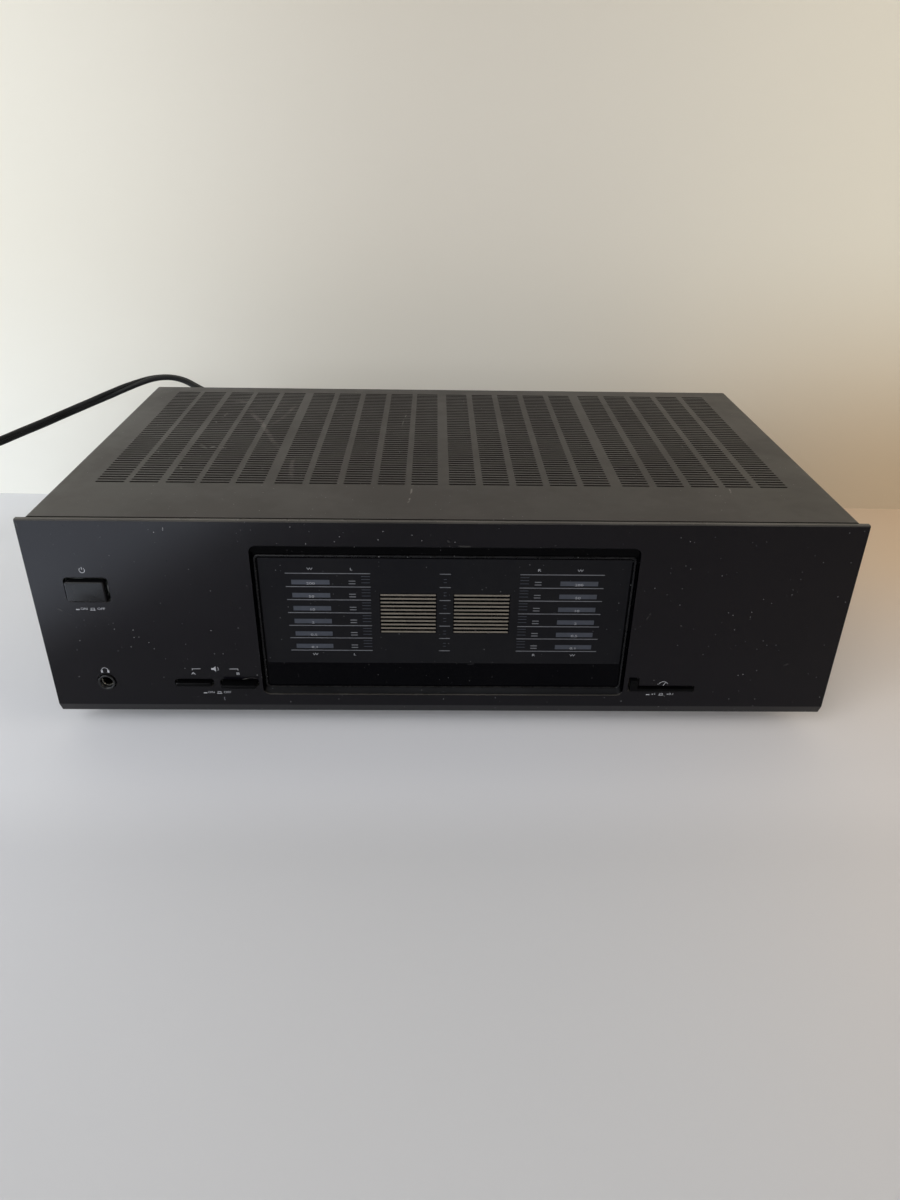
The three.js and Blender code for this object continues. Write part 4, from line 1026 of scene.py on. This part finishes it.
    def tube(self, line: Sequence[Vector]) -> BMesh:
        """Draws the section along the line.

        It is flat at the strain relief and over the arch, and on edge in the first bend and in the coil.

        Args:
            line: The middle line.

        Returns:
            The tube's mesh, closed at its ends.
        """
        mesh, outline, run = bmesh.new(), self.section(), 0.0
        ring = [mesh.verts.new((p.x, p.y, 0)) for p in outline]
        edges = [mesh.edges.new((a, b)) for a, b in zip(ring, ring[1:] + ring[:1])]
        mesh.faces.new(ring)
        for index, point in enumerate(line):
            if index:
                run += (point - line[index - 1]).length
                drawn = bmesh.ops.extrude_edge_only(mesh, edges=edges)["geom"]
                edges, known = only(BMEdge, drawn), set(ring)
                heirs = {edge.other_vert(v): v for v in only(BMVert, drawn) for edge in v.link_edges
                         if edge.other_vert(v) in known}
                ring = [heirs[vert] for vert in ring]
            along = (line[min(index + 1, len(line) - 1)] - line[max(index - 1, 0)]).normalized()
            side = along.cross(Vector((0, 0, 1))).normalized()
            lean = math.pi / 2 * sum(share * smooth(run, *stretch) for share, stretch in self.leans)
            wide = math.sin(lean) * side.cross(along) + math.cos(lean) * side
            thin = wide.cross(along)
            for vert, offset in zip(ring, outline):
                vert.co = point + offset.x * thin + offset.y * wide
        mesh.faces.new(ring)
        outward(mesh)
        return mesh

    def tie(self) -> BMesh:
        """Wraps a flat strap round the coil's turns.

        Returns:
            The strap's mesh.
        """
        inner = self.outer - self.pitch * (2 + self.tie_turn) - self.lobe - self.tie_slack
        outer = self.outer - self.pitch * self.tie_turn + self.lobe + self.tie_slack
        high = self.wide + self.layer + 0.3 * MM
        mesh = bmesh.new()
        bmesh.ops.create_cube(mesh, size=1.0)
        bmesh.ops.scale(mesh, vec=(outer - inner, self.tie_wide, high), verts=mesh.verts)
        bmesh.ops.delete(mesh, geom=[f for f in mesh.faces if abs(f.normal.y) > 0.9], context="FACES_ONLY")
        corners = [e for e in mesh.edges if abs((e.verts[0].co - e.verts[1].co).y) > self.tie_wide / 2]
        bevelled(mesh, corners, self.tie_corner, 6, "EDGES")
        outward(mesh)
        bmesh.ops.solidify(mesh, geom=mesh.faces[:], thickness=-self.tie_thick)
        outward(mesh)
        angle = self.first_angle + 2 * math.pi * self.tie_turn
        middle = self.centre + (inner + outer) / 2 * Vector((math.cos(angle), math.sin(angle), 0))
        middle.z = self.tie_thick + high / 2
        bmesh.ops.transform(mesh, matrix=Matrix.Translation(middle) @ Matrix.Rotation(angle, 4, "Z"), verts=mesh.verts)
        return mesh

    def build(self) -> None:
        free = self.free_line()
        line = free + self.coil_line(free)
        lead = made("mains_lead", self.tube(line), CORD_SKIN, stands_for=("mains_cord", "cord_coil"))
        tie = made("lead_tie", self.tie(), CORD_SKIN, slot="black_plastic")
        relief = rounded("strain_relief", RUBBER, 0.4 * MM)
        plug = rounded("mains_plug", MOULDED_BLACK, 0.6 * MM)


def merged(node: str) -> BMesh:
    """Copies a node's mesh and merges its loose triangles into faces.

    Args:
        node: The node.

    Returns:
        The merged copy.
    """
    mesh = bmesh.new()
    mesh.from_mesh(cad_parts[node].data)
    bmesh.ops.remove_doubles(mesh, verts=mesh.verts, dist=2e-6)
    bmesh.ops.dissolve_limit(mesh, angle_limit=math.radians(0.8), verts=mesh.verts, edges=mesh.edges)
    return mesh


def eased(mesh: BMesh, width: float, segments: int) -> BMesh:
    """Rounds a mesh's sharp edges.

    Args:
        mesh: The mesh.
        width: How wide the rounding is.
        segments: Faces across it.

    Returns:
        The same mesh.
    """
    sharp = [e for e in mesh.edges if e.is_manifold and e.calc_face_angle() > SHARP_TURN]
    bevelled(mesh, sharp, width, segments, "EDGES", clamp=True)
    return mesh


def rounded(node: str, finish: Finish, width: float = 0.3 * MM, segments: int = 2, body: str = CHASSIS) -> Thing:
    """Replaces a node with a copy whose edges are rounded."""
    return made(f"{node}_eased", eased(merged(node), width, segments), finish, body, (node,))


class Print:
    """Flat marks in mm, from the middle and the panel's foot, on a face along -Y or on one turned about Z."""

    def __init__(self, depth: float, facing: float = 0.0) -> None:
        """Starts an empty print.

        Args:
            depth: The face's place along Y.
            facing: Turn about Z in radians from a face that looks along -Y.
        """
        self.mesh = bmesh.new()
        turn = Matrix.Rotation(facing, 4, "Z") @ Matrix.Rotation(math.pi / 2, 4, "X")
        self.stand = Matrix.Translation((0, depth, 0)) @ turn

    def _keep(self, verts: Sequence[BMVert], x: float = 0.0, z: float = 0.0) -> None:
        """Stands flat vertices on the face, with their origin at a place."""
        place = Matrix.Translation((x * MM, z * MM + PANEL_FOOT, 0))
        bmesh.ops.transform(self.mesh, matrix=self.stand @ place, verts=verts)

    def bar(self, left: float, right: float, low: float, high: float) -> None:
        """Adds a filled rectangle."""
        corners = plate(self.mesh, (right - left) * MM, (high - low) * MM)
        self._keep(corners, (left + right) / 2, (low + high) / 2)

    def rule(self, ends: Span, z: float, line: float) -> None:
        """Adds a level line of a width."""
        self.bar(*ends, z - line / 2, z + line / 2)

    def frame(self, left: float, right: float, low: float, high: float, line: float) -> None:
        """Adds the outline of a rectangle.

        Args:
            left: Its left end.
            right: Its right end.
            low: Its lower edge.
            high: Its upper edge.
            line: The line's width.
        """
        self.bar(left, right, low, low + line)
        self.bar(left, right, high - line, high)
        self.bar(left, left + line, low + line, high - line)
        self.bar(right - line, right, low + line, high - line)

    def arc(self, x: float, z: float, radius: float, line: float, start: float, sweep: float) -> None:
        """Adds a part of a ring.

        Args:
            x: Its middle across.
            z: Its middle's height.
            radius: Its outer radius.
            line: The line's width.
            start: Where it starts, in degrees from the right.
            sweep: How far it goes.
        """
        before = set(self.mesh.verts)
        turn = Matrix.Rotation(math.radians(start), 3, "Z")
        ends = [self.mesh.verts.new(turn @ Vector((r * MM, 0, 0))) for r in (radius - line, radius)]
        bmesh.ops.spin(
            self.mesh, geom=[*ends, self.mesh.edges.new(ends)], axis=(0, 0, 1), angle=math.radians(sweep),
            steps=max(4, int(sweep / ARC_STEP)),
        )
        self._keep([v for v in self.mesh.verts if v not in before], x, z)

    def shape(self, *points: Span) -> None:
        """Adds a filled outline.

        Args:
            *points: Its corners, anticlockwise.
        """
        verts = [self.mesh.verts.new((x * MM, z * MM, 0)) for x, z in points]
        self.mesh.faces.new(verts)
        self._keep(verts)

    def words(self, text: str, x: float, z: float, high: float, wide: float) -> None:
        """Adds lettering, centred.

        Args:
            text: The letters.
            x: Their middle across.
            z: Their middle's height.
            high: The capitals' height.
            wide: Stretch across.
        """
        curve = bpy.data.curves.new("lettering", "FONT")
        curve.body, curve.resolution_u = text, 2
        curve.align_x = curve.align_y = "CENTER"
        curve.size = high * MM / CAPITALS
        letters = linked("lettering", curve)
        bpy.context.view_layer.update()
        flat = bpy.data.meshes.new_from_object(letters.evaluated_get(bpy.context.evaluated_depsgraph_get()))
        bpy.data.objects.remove(letters)
        before = set(self.mesh.verts)
        self.mesh.from_mesh(flat)
        bpy.data.meshes.remove(flat)
        verts = [v for v in self.mesh.verts if v not in before]
        bmesh.ops.scale(self.mesh, vec=(wide, 1, 1), verts=verts)
        self._keep(verts, x, z)

    def press(self, name: str, finish: Finish) -> Thing:
        """Makes the print a piece of the chassis."""
        return made(name, self.mesh, finish)


@dataclass
class TopCover:
    """The bent steel cover with its field of fine slots."""

    half: float = 216.3 * MM
    top: float = 132.9 * MM
    foot: float = 15.4 * MM
    front: float = -121.6 * MM
    rear: float = 120.5 * MM
    bend: float = 2.5 * MM
    sheet: float = 0.8 * MM
    lip_high: float = 13 * MM
    lip_inset: float = 14 * MM
    columns: tuple[Span, ...] = (
        (-196.4, -180.0), (-177.3, -161.0), (-157.2, -140.7), (-137.9, -121.3), (-118.1, -102.1),
        (-96.4, -80.2), (-76.9, -60.9), (-57.6, -41.8), (-38.4, -22.5), (-19.5, -4.0),
        (2.0, 17.6), (21.1, 36.6), (40.1, 55.6), (59.1, 75.0), (78.3, 94.0),
        (100.3, 116.1), (119.9, 135.9), (139.6, 155.7), (159.1, 175.2), (178.9, 195.0),
    )
    first_row: float = -73.9 * MM
    rows: int = 49
    row_pitch: float = 3.742 * MM
    slot: float = 1.8 * MM
    round: float = 0.78 * MM

    def grille(self) -> BMesh:
        """Cuts the slots in a flat plate.

        Returns:
            The plate's mesh.
        """
        mesh = bmesh.new()
        wide, middle = 2 * (self.half - self.bend), (self.front + self.rear) / 2
        plate(mesh, wide, self.rear - self.front, (0, middle, self.top))
        bars = [(left * MM, right * MM) for left, right in self.columns]
        starts = [self.first_row + row * self.row_pitch for row in range(self.rows)]
        slots = [(start, start + self.slot) for start in starts]
        lip = self.half - self.lip_inset
        cuts = [((x, 0, 0), (1, 0, 0)) for x in (-lip, *[end for bar in bars for end in bar], lip)]
        cuts += [((0, y, 0), (0, 1, 0)) for slot in slots for y in slot]
        for place, normal in cuts:
            whole = [*mesh.verts, *mesh.edges, *mesh.faces]
            bmesh.ops.bisect_plane(mesh, geom=whole, dist=1e-7, plane_co=place, plane_no=normal)
        holes = [f for f in mesh.faces if self._open(f.calc_center_median(), bars, slots)]
        marks = {self._mark(f.calc_center_median()) for f in holes}
        bevelled(mesh, list({v for f in holes for v in f.verts}), self.round, 2, "VERTICES")
        holes = [f for f in mesh.faces if len(f.verts) > 8 and self._mark(f.calc_center_bounds()) in marks]
        bmesh.ops.delete(mesh, geom=holes, context="FACES")
        return mesh

    def _mark(self, centre: Vector) -> tuple[int, ...]:
        """Gives a place to the tenth of a millimetre."""
        return tuple(round(c / (0.1 * MM)) for c in centre)

    def _open(self, centre: Vector, bars: Sequence[Span], slots: Sequence[Span]) -> bool:
        """Says whether a place is in a slot, by the columns' ends along X and the slots' along Y."""
        return any(a < centre.x < b for a, b in bars) and any(a < centre.y < b for a, b in slots)

    def bent(self) -> BMesh:
        """Bends the sides and the rear lip down and gives the sheet its thickness.

        Returns:
            The finished mesh.
        """
        mesh, near = self.grille(), 1e-6
        flat, lip = self.half - self.bend, self.half - self.lip_inset + near
        for side in (-1, 1):
            edges = [e for e in mesh.edges if e.is_boundary and all(abs(v.co.x - side * flat) < near for v in e.verts)]
            turned = bmesh.ops.spin(
                mesh, geom=edges, cent=(side * flat, 0, self.top - self.bend), axis=(0, 1, 0),
                angle=side * math.pi / 2, steps=5,
            )["geom_last"]
            pulled(mesh, only(BMEdge, turned), (0, 0, self.foot - self.top + self.bend))
        edges = [e for e in mesh.edges if e.is_boundary and all(
            abs(v.co.y - self.rear) < near and abs(v.co.x) < lip for v in e.verts)]
        pulled(mesh, edges, (0, 0, -self.lip_high))
        outward(mesh)
        top = next(f for f in mesh.faces if abs(f.normal.z) > 0.9)
        if top.normal.z < 0:
            bmesh.ops.reverse_faces(mesh, faces=mesh.faces)
        bmesh.ops.solidify(mesh, geom=mesh.faces[:], thickness=self.sheet)
        return mesh

    def build(self) -> None:
        """Makes the cover and dresses its screws."""
        made("top_cover_grille", self.bent(), COVER_PAINT, stands_for=("top_cover",), sharp=40)
        dress([f"side_screw_{place}" for place in CORNERS], SCREW_STEEL)
        dress([f"rear_screw_{place}" for place in ("left", "middle", "right")], SCREW_STEEL)


@dataclass
class FrontPanel:
    """The front plate with its printed marks."""

    arcs: tuple[Numbers, ...] = (
        (-190.8, 91.7, 1.6, 0.32, 125, 290),  # the power sign's ring
        (-190.0, 28.6, 2.0, 0.32, 0, 180),  # the headphones' band
        (-128.0, 30.0, 1.5, 0.26, -50, 100),  # the loudspeaker's sound
        (125.4, 19.9, 3.0, 0.3, 30, 120),  # the meter's scale
    )
    bars: tuple[Numbers, ...] = (
        (-190.96, -190.64, 91.9, 93.7),  # the power sign's stroke
        (-192.3, -191.3, 27.2, 28.9), (-188.7, -187.7, 27.2, 28.9),  # the headphones' cups
        (-141.4, -136.6, 29.9, 30.2), (-141.4, -141.1, 29.1, 29.9),  # the line to key A
        (-120.4, -115.6, 29.9, 30.2), (-115.9, -115.6, 29.1, 29.9),  # the line to key B
    )
    speaker: tuple[Span, ...] = (
        (-130.6, 29.4), (-129.4, 29.4), (-128.1, 28.2), (-128.1, 31.8), (-129.4, 30.6), (-130.6, 30.6),
    )
    needle: tuple[Span, ...] = ((125.1, 19.9), (125.5, 19.9), (127.0, 22.6), (126.7, 22.8))
    keys: tuple[tuple[str, float], ...] = (("A", -141.0), ("B", -116.0))
    keys_high: float = 26.9
    key_size: Span = (1.6, 1.6)
    pushes: tuple[tuple[float, float, str, str, float], ...] = (
        (-198.4, 68.4, "ON", "OFF", 8.0), (-136.8, 14.1, "ON", "OFF", 8.0), (116.3, 14.1, "x1", "x0.1", 7.6),
    )
    push: float = 2.0
    push_size: Span = (1.35, 1.25)
    chip: Numbers = (-124.0, 9.8, 1.7, 0.34, 140, 90)

    def _push_marks(self, ink: Print, left: float, z: float, on: str, off: str, gap: float) -> None:
        """Draws the pressed and released signs with their words.

        Args:
            ink: The print.
            left: Where the first sign starts.
            z: The words' middle.
            on: Word for pressed in.
            off: Word for released.
            gap: From one sign to the other.
        """
        ink.bar(left, left + self.push, z - 0.75, z - 0.1)
        ink.words(on, left + self.push + 0.6 + 0.9 * len(on), z, *self.push_size)
        left += gap
        right = left + self.push
        ink.frame(left, right, z - 0.75, z + 0.6, 0.25)
        ink.bar(left - 0.5, right + 0.5, z - 0.95, z - 0.7)
        ink.words(off, right + 1.0 + 0.85 * len(off), z, *self.push_size)

    def build(self) -> None:
        """Dresses the plate and prints its marks."""
        dress("front_panel", GLOSS_BLACK)
        dress("sub_panel", PLATED)
        ink, chip = Print(FACE - LIFT), Print(FACE - LIFT)
        for arc in self.arcs:
            ink.arc(*arc)
        for bar in self.bars:
            ink.bar(*bar)
        ink.shape(*self.speaker)
        ink.shape(*self.needle)
        for text, x in self.keys:
            ink.words(text, x, self.keys_high, *self.key_size)
        for marks in self.pushes:
            self._push_marks(ink, *marks)
        ink.press("front_marks", WHITE_INK)
        chip.arc(*self.chip)
        chip.press("chipped_paint", GREY_INK)


@dataclass
class MeterWindow:
    """The level-meter window: its frame, dark plate, printed field and scales, and the display behind."""

    face: float = -121.6 * MM
    field: Numbers = (-99.3, 99.3, 32.3, 98.0)
    lines: Numbers = (89.0, 80.9, 72.9, 64.8, 56.7, 48.7, 40.6)
    values: tuple[str, ...] = ("200", "50", "10", "2", "0.5", "0.1")
    value_at: float = 72.2
    letters: tuple[Span, ...] = ((50.2, 91.6), (50.2, 37.9))
    bars: int = 11
    bar_top: float = 76.1
    bar_pitch: float = 2.31
    line_ends: Span = (40.1, 85.5)
    box_ends: Span = (62.0, 82.4)
    dash_ends: Span = (48.2, 51.8)
    tick_ends: Span = (40.3, 45.0)
    bar_ends: Span = (5.0, 35.0)
    block_ends: Span = (4.6, 35.4)
    middle_ends: Span = (-3.0, 3.0)
    middle_tick: Span = (-0.8, 0.8)
    drops: Numbers = (1.75, 3.5, 5.5)
    middle_drops: Numbers = (3.2, 5.1)
    box_rises: Span = (1.4, 4.15)
    value_rise: float = 1.95
    dash_rises: Span = (1.95, 3.55)
    value_size: Span = (1.4, 1.55)
    letter_size: Span = (1.4, 1.5)
    line: float = 0.44
    tick: float = 0.28
    dash: float = 0.52
    bar: float = 1.0
    block_edge: float = 0.9
    cut: float = 3.3 * MM
    walls: tuple[Numbers, ...] = (
        (102.4, 13.1, 106.4, 3.7, 3.35), (102.4, 13.1, 106.4, 3.7, 0.8), (102.1, 13.4, 106.1, 3.4, 0.5),
        (101.6, 16.3, 100.3, 2.6, 3.0), (101.6, 16.3, 100.3, 2.6, 3.35),
    )
    bead: tuple[Numbers, ...] = (
        (101.65, 16.2, 100.35, 2.6, 3.3), (101.55, 16.28, 100.2, 2.6, 2.75), (101.2, 16.36, 99.9, 2.4, 2.45),
        (100.7, 16.44, 99.5, 2.2, 2.5), (100.35, 16.52, 99.15, 2.0, 2.85), (100.3, 16.6, 99.1, 2.0, 3.5),
    )

    def loft(self, rings: Sequence[Numbers]) -> BMesh:
        """Joins rounded outlines into a closed frame.

        Args:
            rings: Each outline's half width, lower edge, upper edge, corner and depth behind the panel, in mm.

        Returns:
            The frame's mesh.
        """
        mesh, loops = bmesh.new(), []
        stand = Matrix.Translation((0, FACE, PANEL_FOOT)) @ Matrix.Rotation(math.pi / 2, 4, "X")
        for half, low, high, corner, depth in rings:
            verts, edges = set(mesh.verts), set(mesh.edges)
            corners = plate(mesh, 2 * half * MM, (high - low) * MM, (0, (low + high) / 2 * MM, -depth * MM))
            bevelled(mesh, corners, corner * MM, 6, "VERTICES")
            bmesh.ops.delete(mesh, geom=[f for f in mesh.faces if not set(f.verts) & verts], context="FACES_ONLY")
            loops.append([e for e in mesh.edges if e not in edges])
        for near, far in zip(loops, loops[1:] + loops[:1]):
            bmesh.ops.bridge_loops(mesh, edges=near + far)
        bmesh.ops.transform(mesh, matrix=stand, verts=mesh.verts)
        outward(mesh)
        return mesh

    def frame(self) -> None:
        """Makes the frame: the body behind the panel, its sloped walls and the bead round the window."""
        body = merged("display_bezel")
        whole = [*body.verts, *body.edges, *body.faces]
        opened = bmesh.ops.bisect_plane(
            body, geom=whole, dist=1e-6, plane_co=(0, FACE + self.cut, 0), plane_no=(0, -1, 0), clear_outer=True,
        )
        bmesh.ops.bridge_loops(body, edges=only(BMEdge, opened["geom_cut"]))
        made("display_bezel_body", body, WALL_BLACK, stands_for=("display_bezel",))
        made("window_walls", self.loft(self.walls), WALL_BLACK, slot="black_plastic", sharp=50)
        made("window_bead", self.loft(self.bead), BEAD_BLACK, slot="black_plastic", sharp=60)

    def scales(self) -> None:
        """Prints the scales at both sides, the middle ladder and the two blocks of level bars."""
        at = self.face - 2 * LIFT
        grey, gold, faint = Print(at), Print(at - LIFT), Print(at)
        blue, white, shade = Print(at), Print(at - LIFT), Print(at)
        levels = [self.bar_top - self.bar_pitch * row for row in range(self.bars)]
        for side in (-1, 1):
            def span(ends: Span) -> Span:
                """Gives a line's ends on this side."""
                return ends if side > 0 else (-ends[1], -ends[0])

            for z in self.lines:
                grey.rule(span(self.line_ends), z, self.line)
            for text, high, low in zip(self.values, self.lines, self.lines[1:]):
                blue.bar(*span(self.box_ends), *(low + rise for rise in self.box_rises))
                white.words(text, side * self.value_at, low + self.value_rise, *self.value_size)
                for rise in self.dash_rises:
                    grey.rule(span(self.dash_ends), low + rise, self.dash)
                for drop in self.drops:
                    faint.rule(span(self.tick_ends), high - drop, self.tick)
            shade.bar(*span(self.block_ends), levels[-1] - self.block_edge, levels[0] + self.block_edge)
            for z in levels:
                gold.rule(span(self.bar_ends), z, self.bar)
            for x, z in self.letters:
                white.words("L" if side < 0 else "R", side * x, z, *self.letter_size)
                white.words("W", side * self.value_at, z, *self.letter_size)
        for z in self.lines:
            grey.rule(self.middle_ends, z, self.line)
            for drop in self.middle_drops if z > self.lines[-1] else ():
                faint.rule(self.middle_tick, z - drop, self.tick)
        for name, ink, finish in (
            ("scale_lines", grey, GREY_INK), ("scale_ticks", faint, BLUE_INK), ("scale_boxes", blue, BLUE_INK),
            ("level_block", shade, WALL_BLACK), ("level_bars", gold, GOLD_INK), ("scale_numbers", white, PALE_INK),
        ):
            ink.press(name, finish)

    def build(self) -> None:
        """Makes the frame, dresses the window and prints the field."""
        self.frame()
        dress("display_window", SMOKED)
        dress("display_tube", TUBE_GLASS)
        dress("display_board", LAMINATE)
        ink = Print(self.face - LIFT)
        ink.bar(*self.field)
        ink.press("meter_field", METER_FIELD)
        self.scales()


@dataclass
class Controls:
    """The push controls and the headphone socket."""

    jack: Place = (-190.1 * MM, -126.3 * MM, 33.1 * MM)
    bush: float = 3.2 * MM

    def socket_bush(self) -> BMesh:
        """Turns the metal bush inside the headphone socket.

        Returns:
            Its mesh.
        """
        mesh = bmesh.new()
        inner = self.bush - 0.4 * MM
        profile = [(self.bush, 2.2), (self.bush, 12), (inner, 12), (inner, 2.5), (inner + 0.2 * MM, 2.2)]
        verts = [mesh.verts.new((r, y * MM, 0)) for r, y in profile]
        edges = [mesh.edges.new((a, b)) for a, b in zip(verts, verts[1:] + verts[:1])]
        bmesh.ops.spin(mesh, geom=[*verts, *edges], axis=(0, 1, 0), angle=2 * math.pi, steps=32, use_merge=True)
        bmesh.ops.translate(mesh, vec=self.jack, verts=mesh.verts)
        outward(mesh)
        return mesh

    def build(self) -> None:
        """Makes the caps, the socket and the switches behind them."""
        rounded("power_button", CAP_PLASTIC, 0.15 * MM, 2, "power_button")
        for name in ("speaker_key_a", "speaker_key_b", "meter_range_key"):
            rounded(name, KEY_PLASTIC, 0.15 * MM, 2, name)
        rounded("phones_jack", BEZEL_PLASTIC, 0.35 * MM, 3)
        made("phones_bush", self.socket_bush(), NICKEL, slot="nickel")
        dress([f"{name}_switch_body" for name in ("power", "speaker", "meter")], PLATED)


@dataclass
class RearPanel:
    """The rear plate with its terminals, sockets and strain relief."""

    levers: int = 8
    columns: tuple[tuple[float, bool], ...] = ((19.5, False), (38.5, True), (57.5, False), (76.5, True))
    sign_rows: Span = (86.0, 34.0)
    arm: float = 1.3
    stroke: float = 0.25
    letters: tuple[tuple[str, float, float], ...] = (
        ("A", 95.0, 70.0), ("B", 95.0, 50.0), ("L", 67.0, 91.0), ("R", 29.0, 91.0),
        ("L", 187.5, 69.5), ("R", 187.5, 50.5),
    )
    letter_size: Span = (2.6, 1.2)

    def build(self) -> None:
        """Dresses the rear, prints its signs and rounds its parts."""
        dress("rear_panel", COVER_PAINT)
        ink, arm, stroke = Print(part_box("rear_panel")[1].y + LIFT, math.pi), self.arm, self.stroke
        for x, positive in self.columns:
            for z in self.sign_rows:
                ink.bar(-x - arm, -x + arm, z - stroke, z + stroke)
                for low, high in ((z - arm, z - stroke), (z + stroke, z + arm)) if positive else ():
                    ink.bar(-x - stroke, -x + stroke, low, high)
        for text, x, z in self.letters:
            ink.words(text, -x, z, *self.letter_size)
        ink.press("rear_marks", WHITE_INK)
        rounded("terminal_block", MOULDED_BLACK)
        for number in range(1, self.levers + 1):
            name = f"terminal_lever_{number}"
            rounded(name, MOULDED_BLACK if number % 2 else MOULDED_RED, body=name)
        rounded("input_jack_block", MOULDED_BLACK)
        rounded("input_jack_left", NICKEL, 0.2 * MM)
        rounded("input_jack_right", GOLD, 0.2 * MM)


@dataclass
class Inside:
    """What stands on the chassis under the slots."""

    transistors: int = 4

    def build(self) -> None:
        """Dresses the inner parts."""
        dress(("heat_sink_left", "heat_sink_right"), EXTRUSION)
        for number in range(1, self.transistors + 1):
            rounded(f"output_transistor_{number}", EPOXY)
        dress("transformer_core", CORE_STEEL)
        rounded("transformer_winding", TAPE, 0.5 * MM)
        dress("transformer_strap", PLATED)
        dress("main_board", LAMINATE)
        for side in ("left", "right"):
            rounded(f"filter_capacitor_{side}", SLEEVE, 0.4 * MM)
        rounded("speaker_relay", EPOXY, 0.6 * MM)


@dataclass
class Underside:
    """The bottom pan and the feet."""

    def build(self) -> None:
        """Dresses the pan and rounds the feet."""
        dress("chassis_pan", PLATED)
        for place in CORNERS:
            rounded(f"foot_{place}", RUBBER, 0.5 * MM, 3)


def main() -> None:
    """Builds the studio and every sub-assembly in order."""
    logging.basicConfig(level=logging.INFO, format="%(name)s %(message)s")
    Studio().build()
    MainsLead().build()
    for assembly in (FrontPanel(), MeterWindow(), Controls(), TopCover(), RearPanel(), Inside(), Underside()):
        assembly.build()


if __name__ == "__main__":
    main()
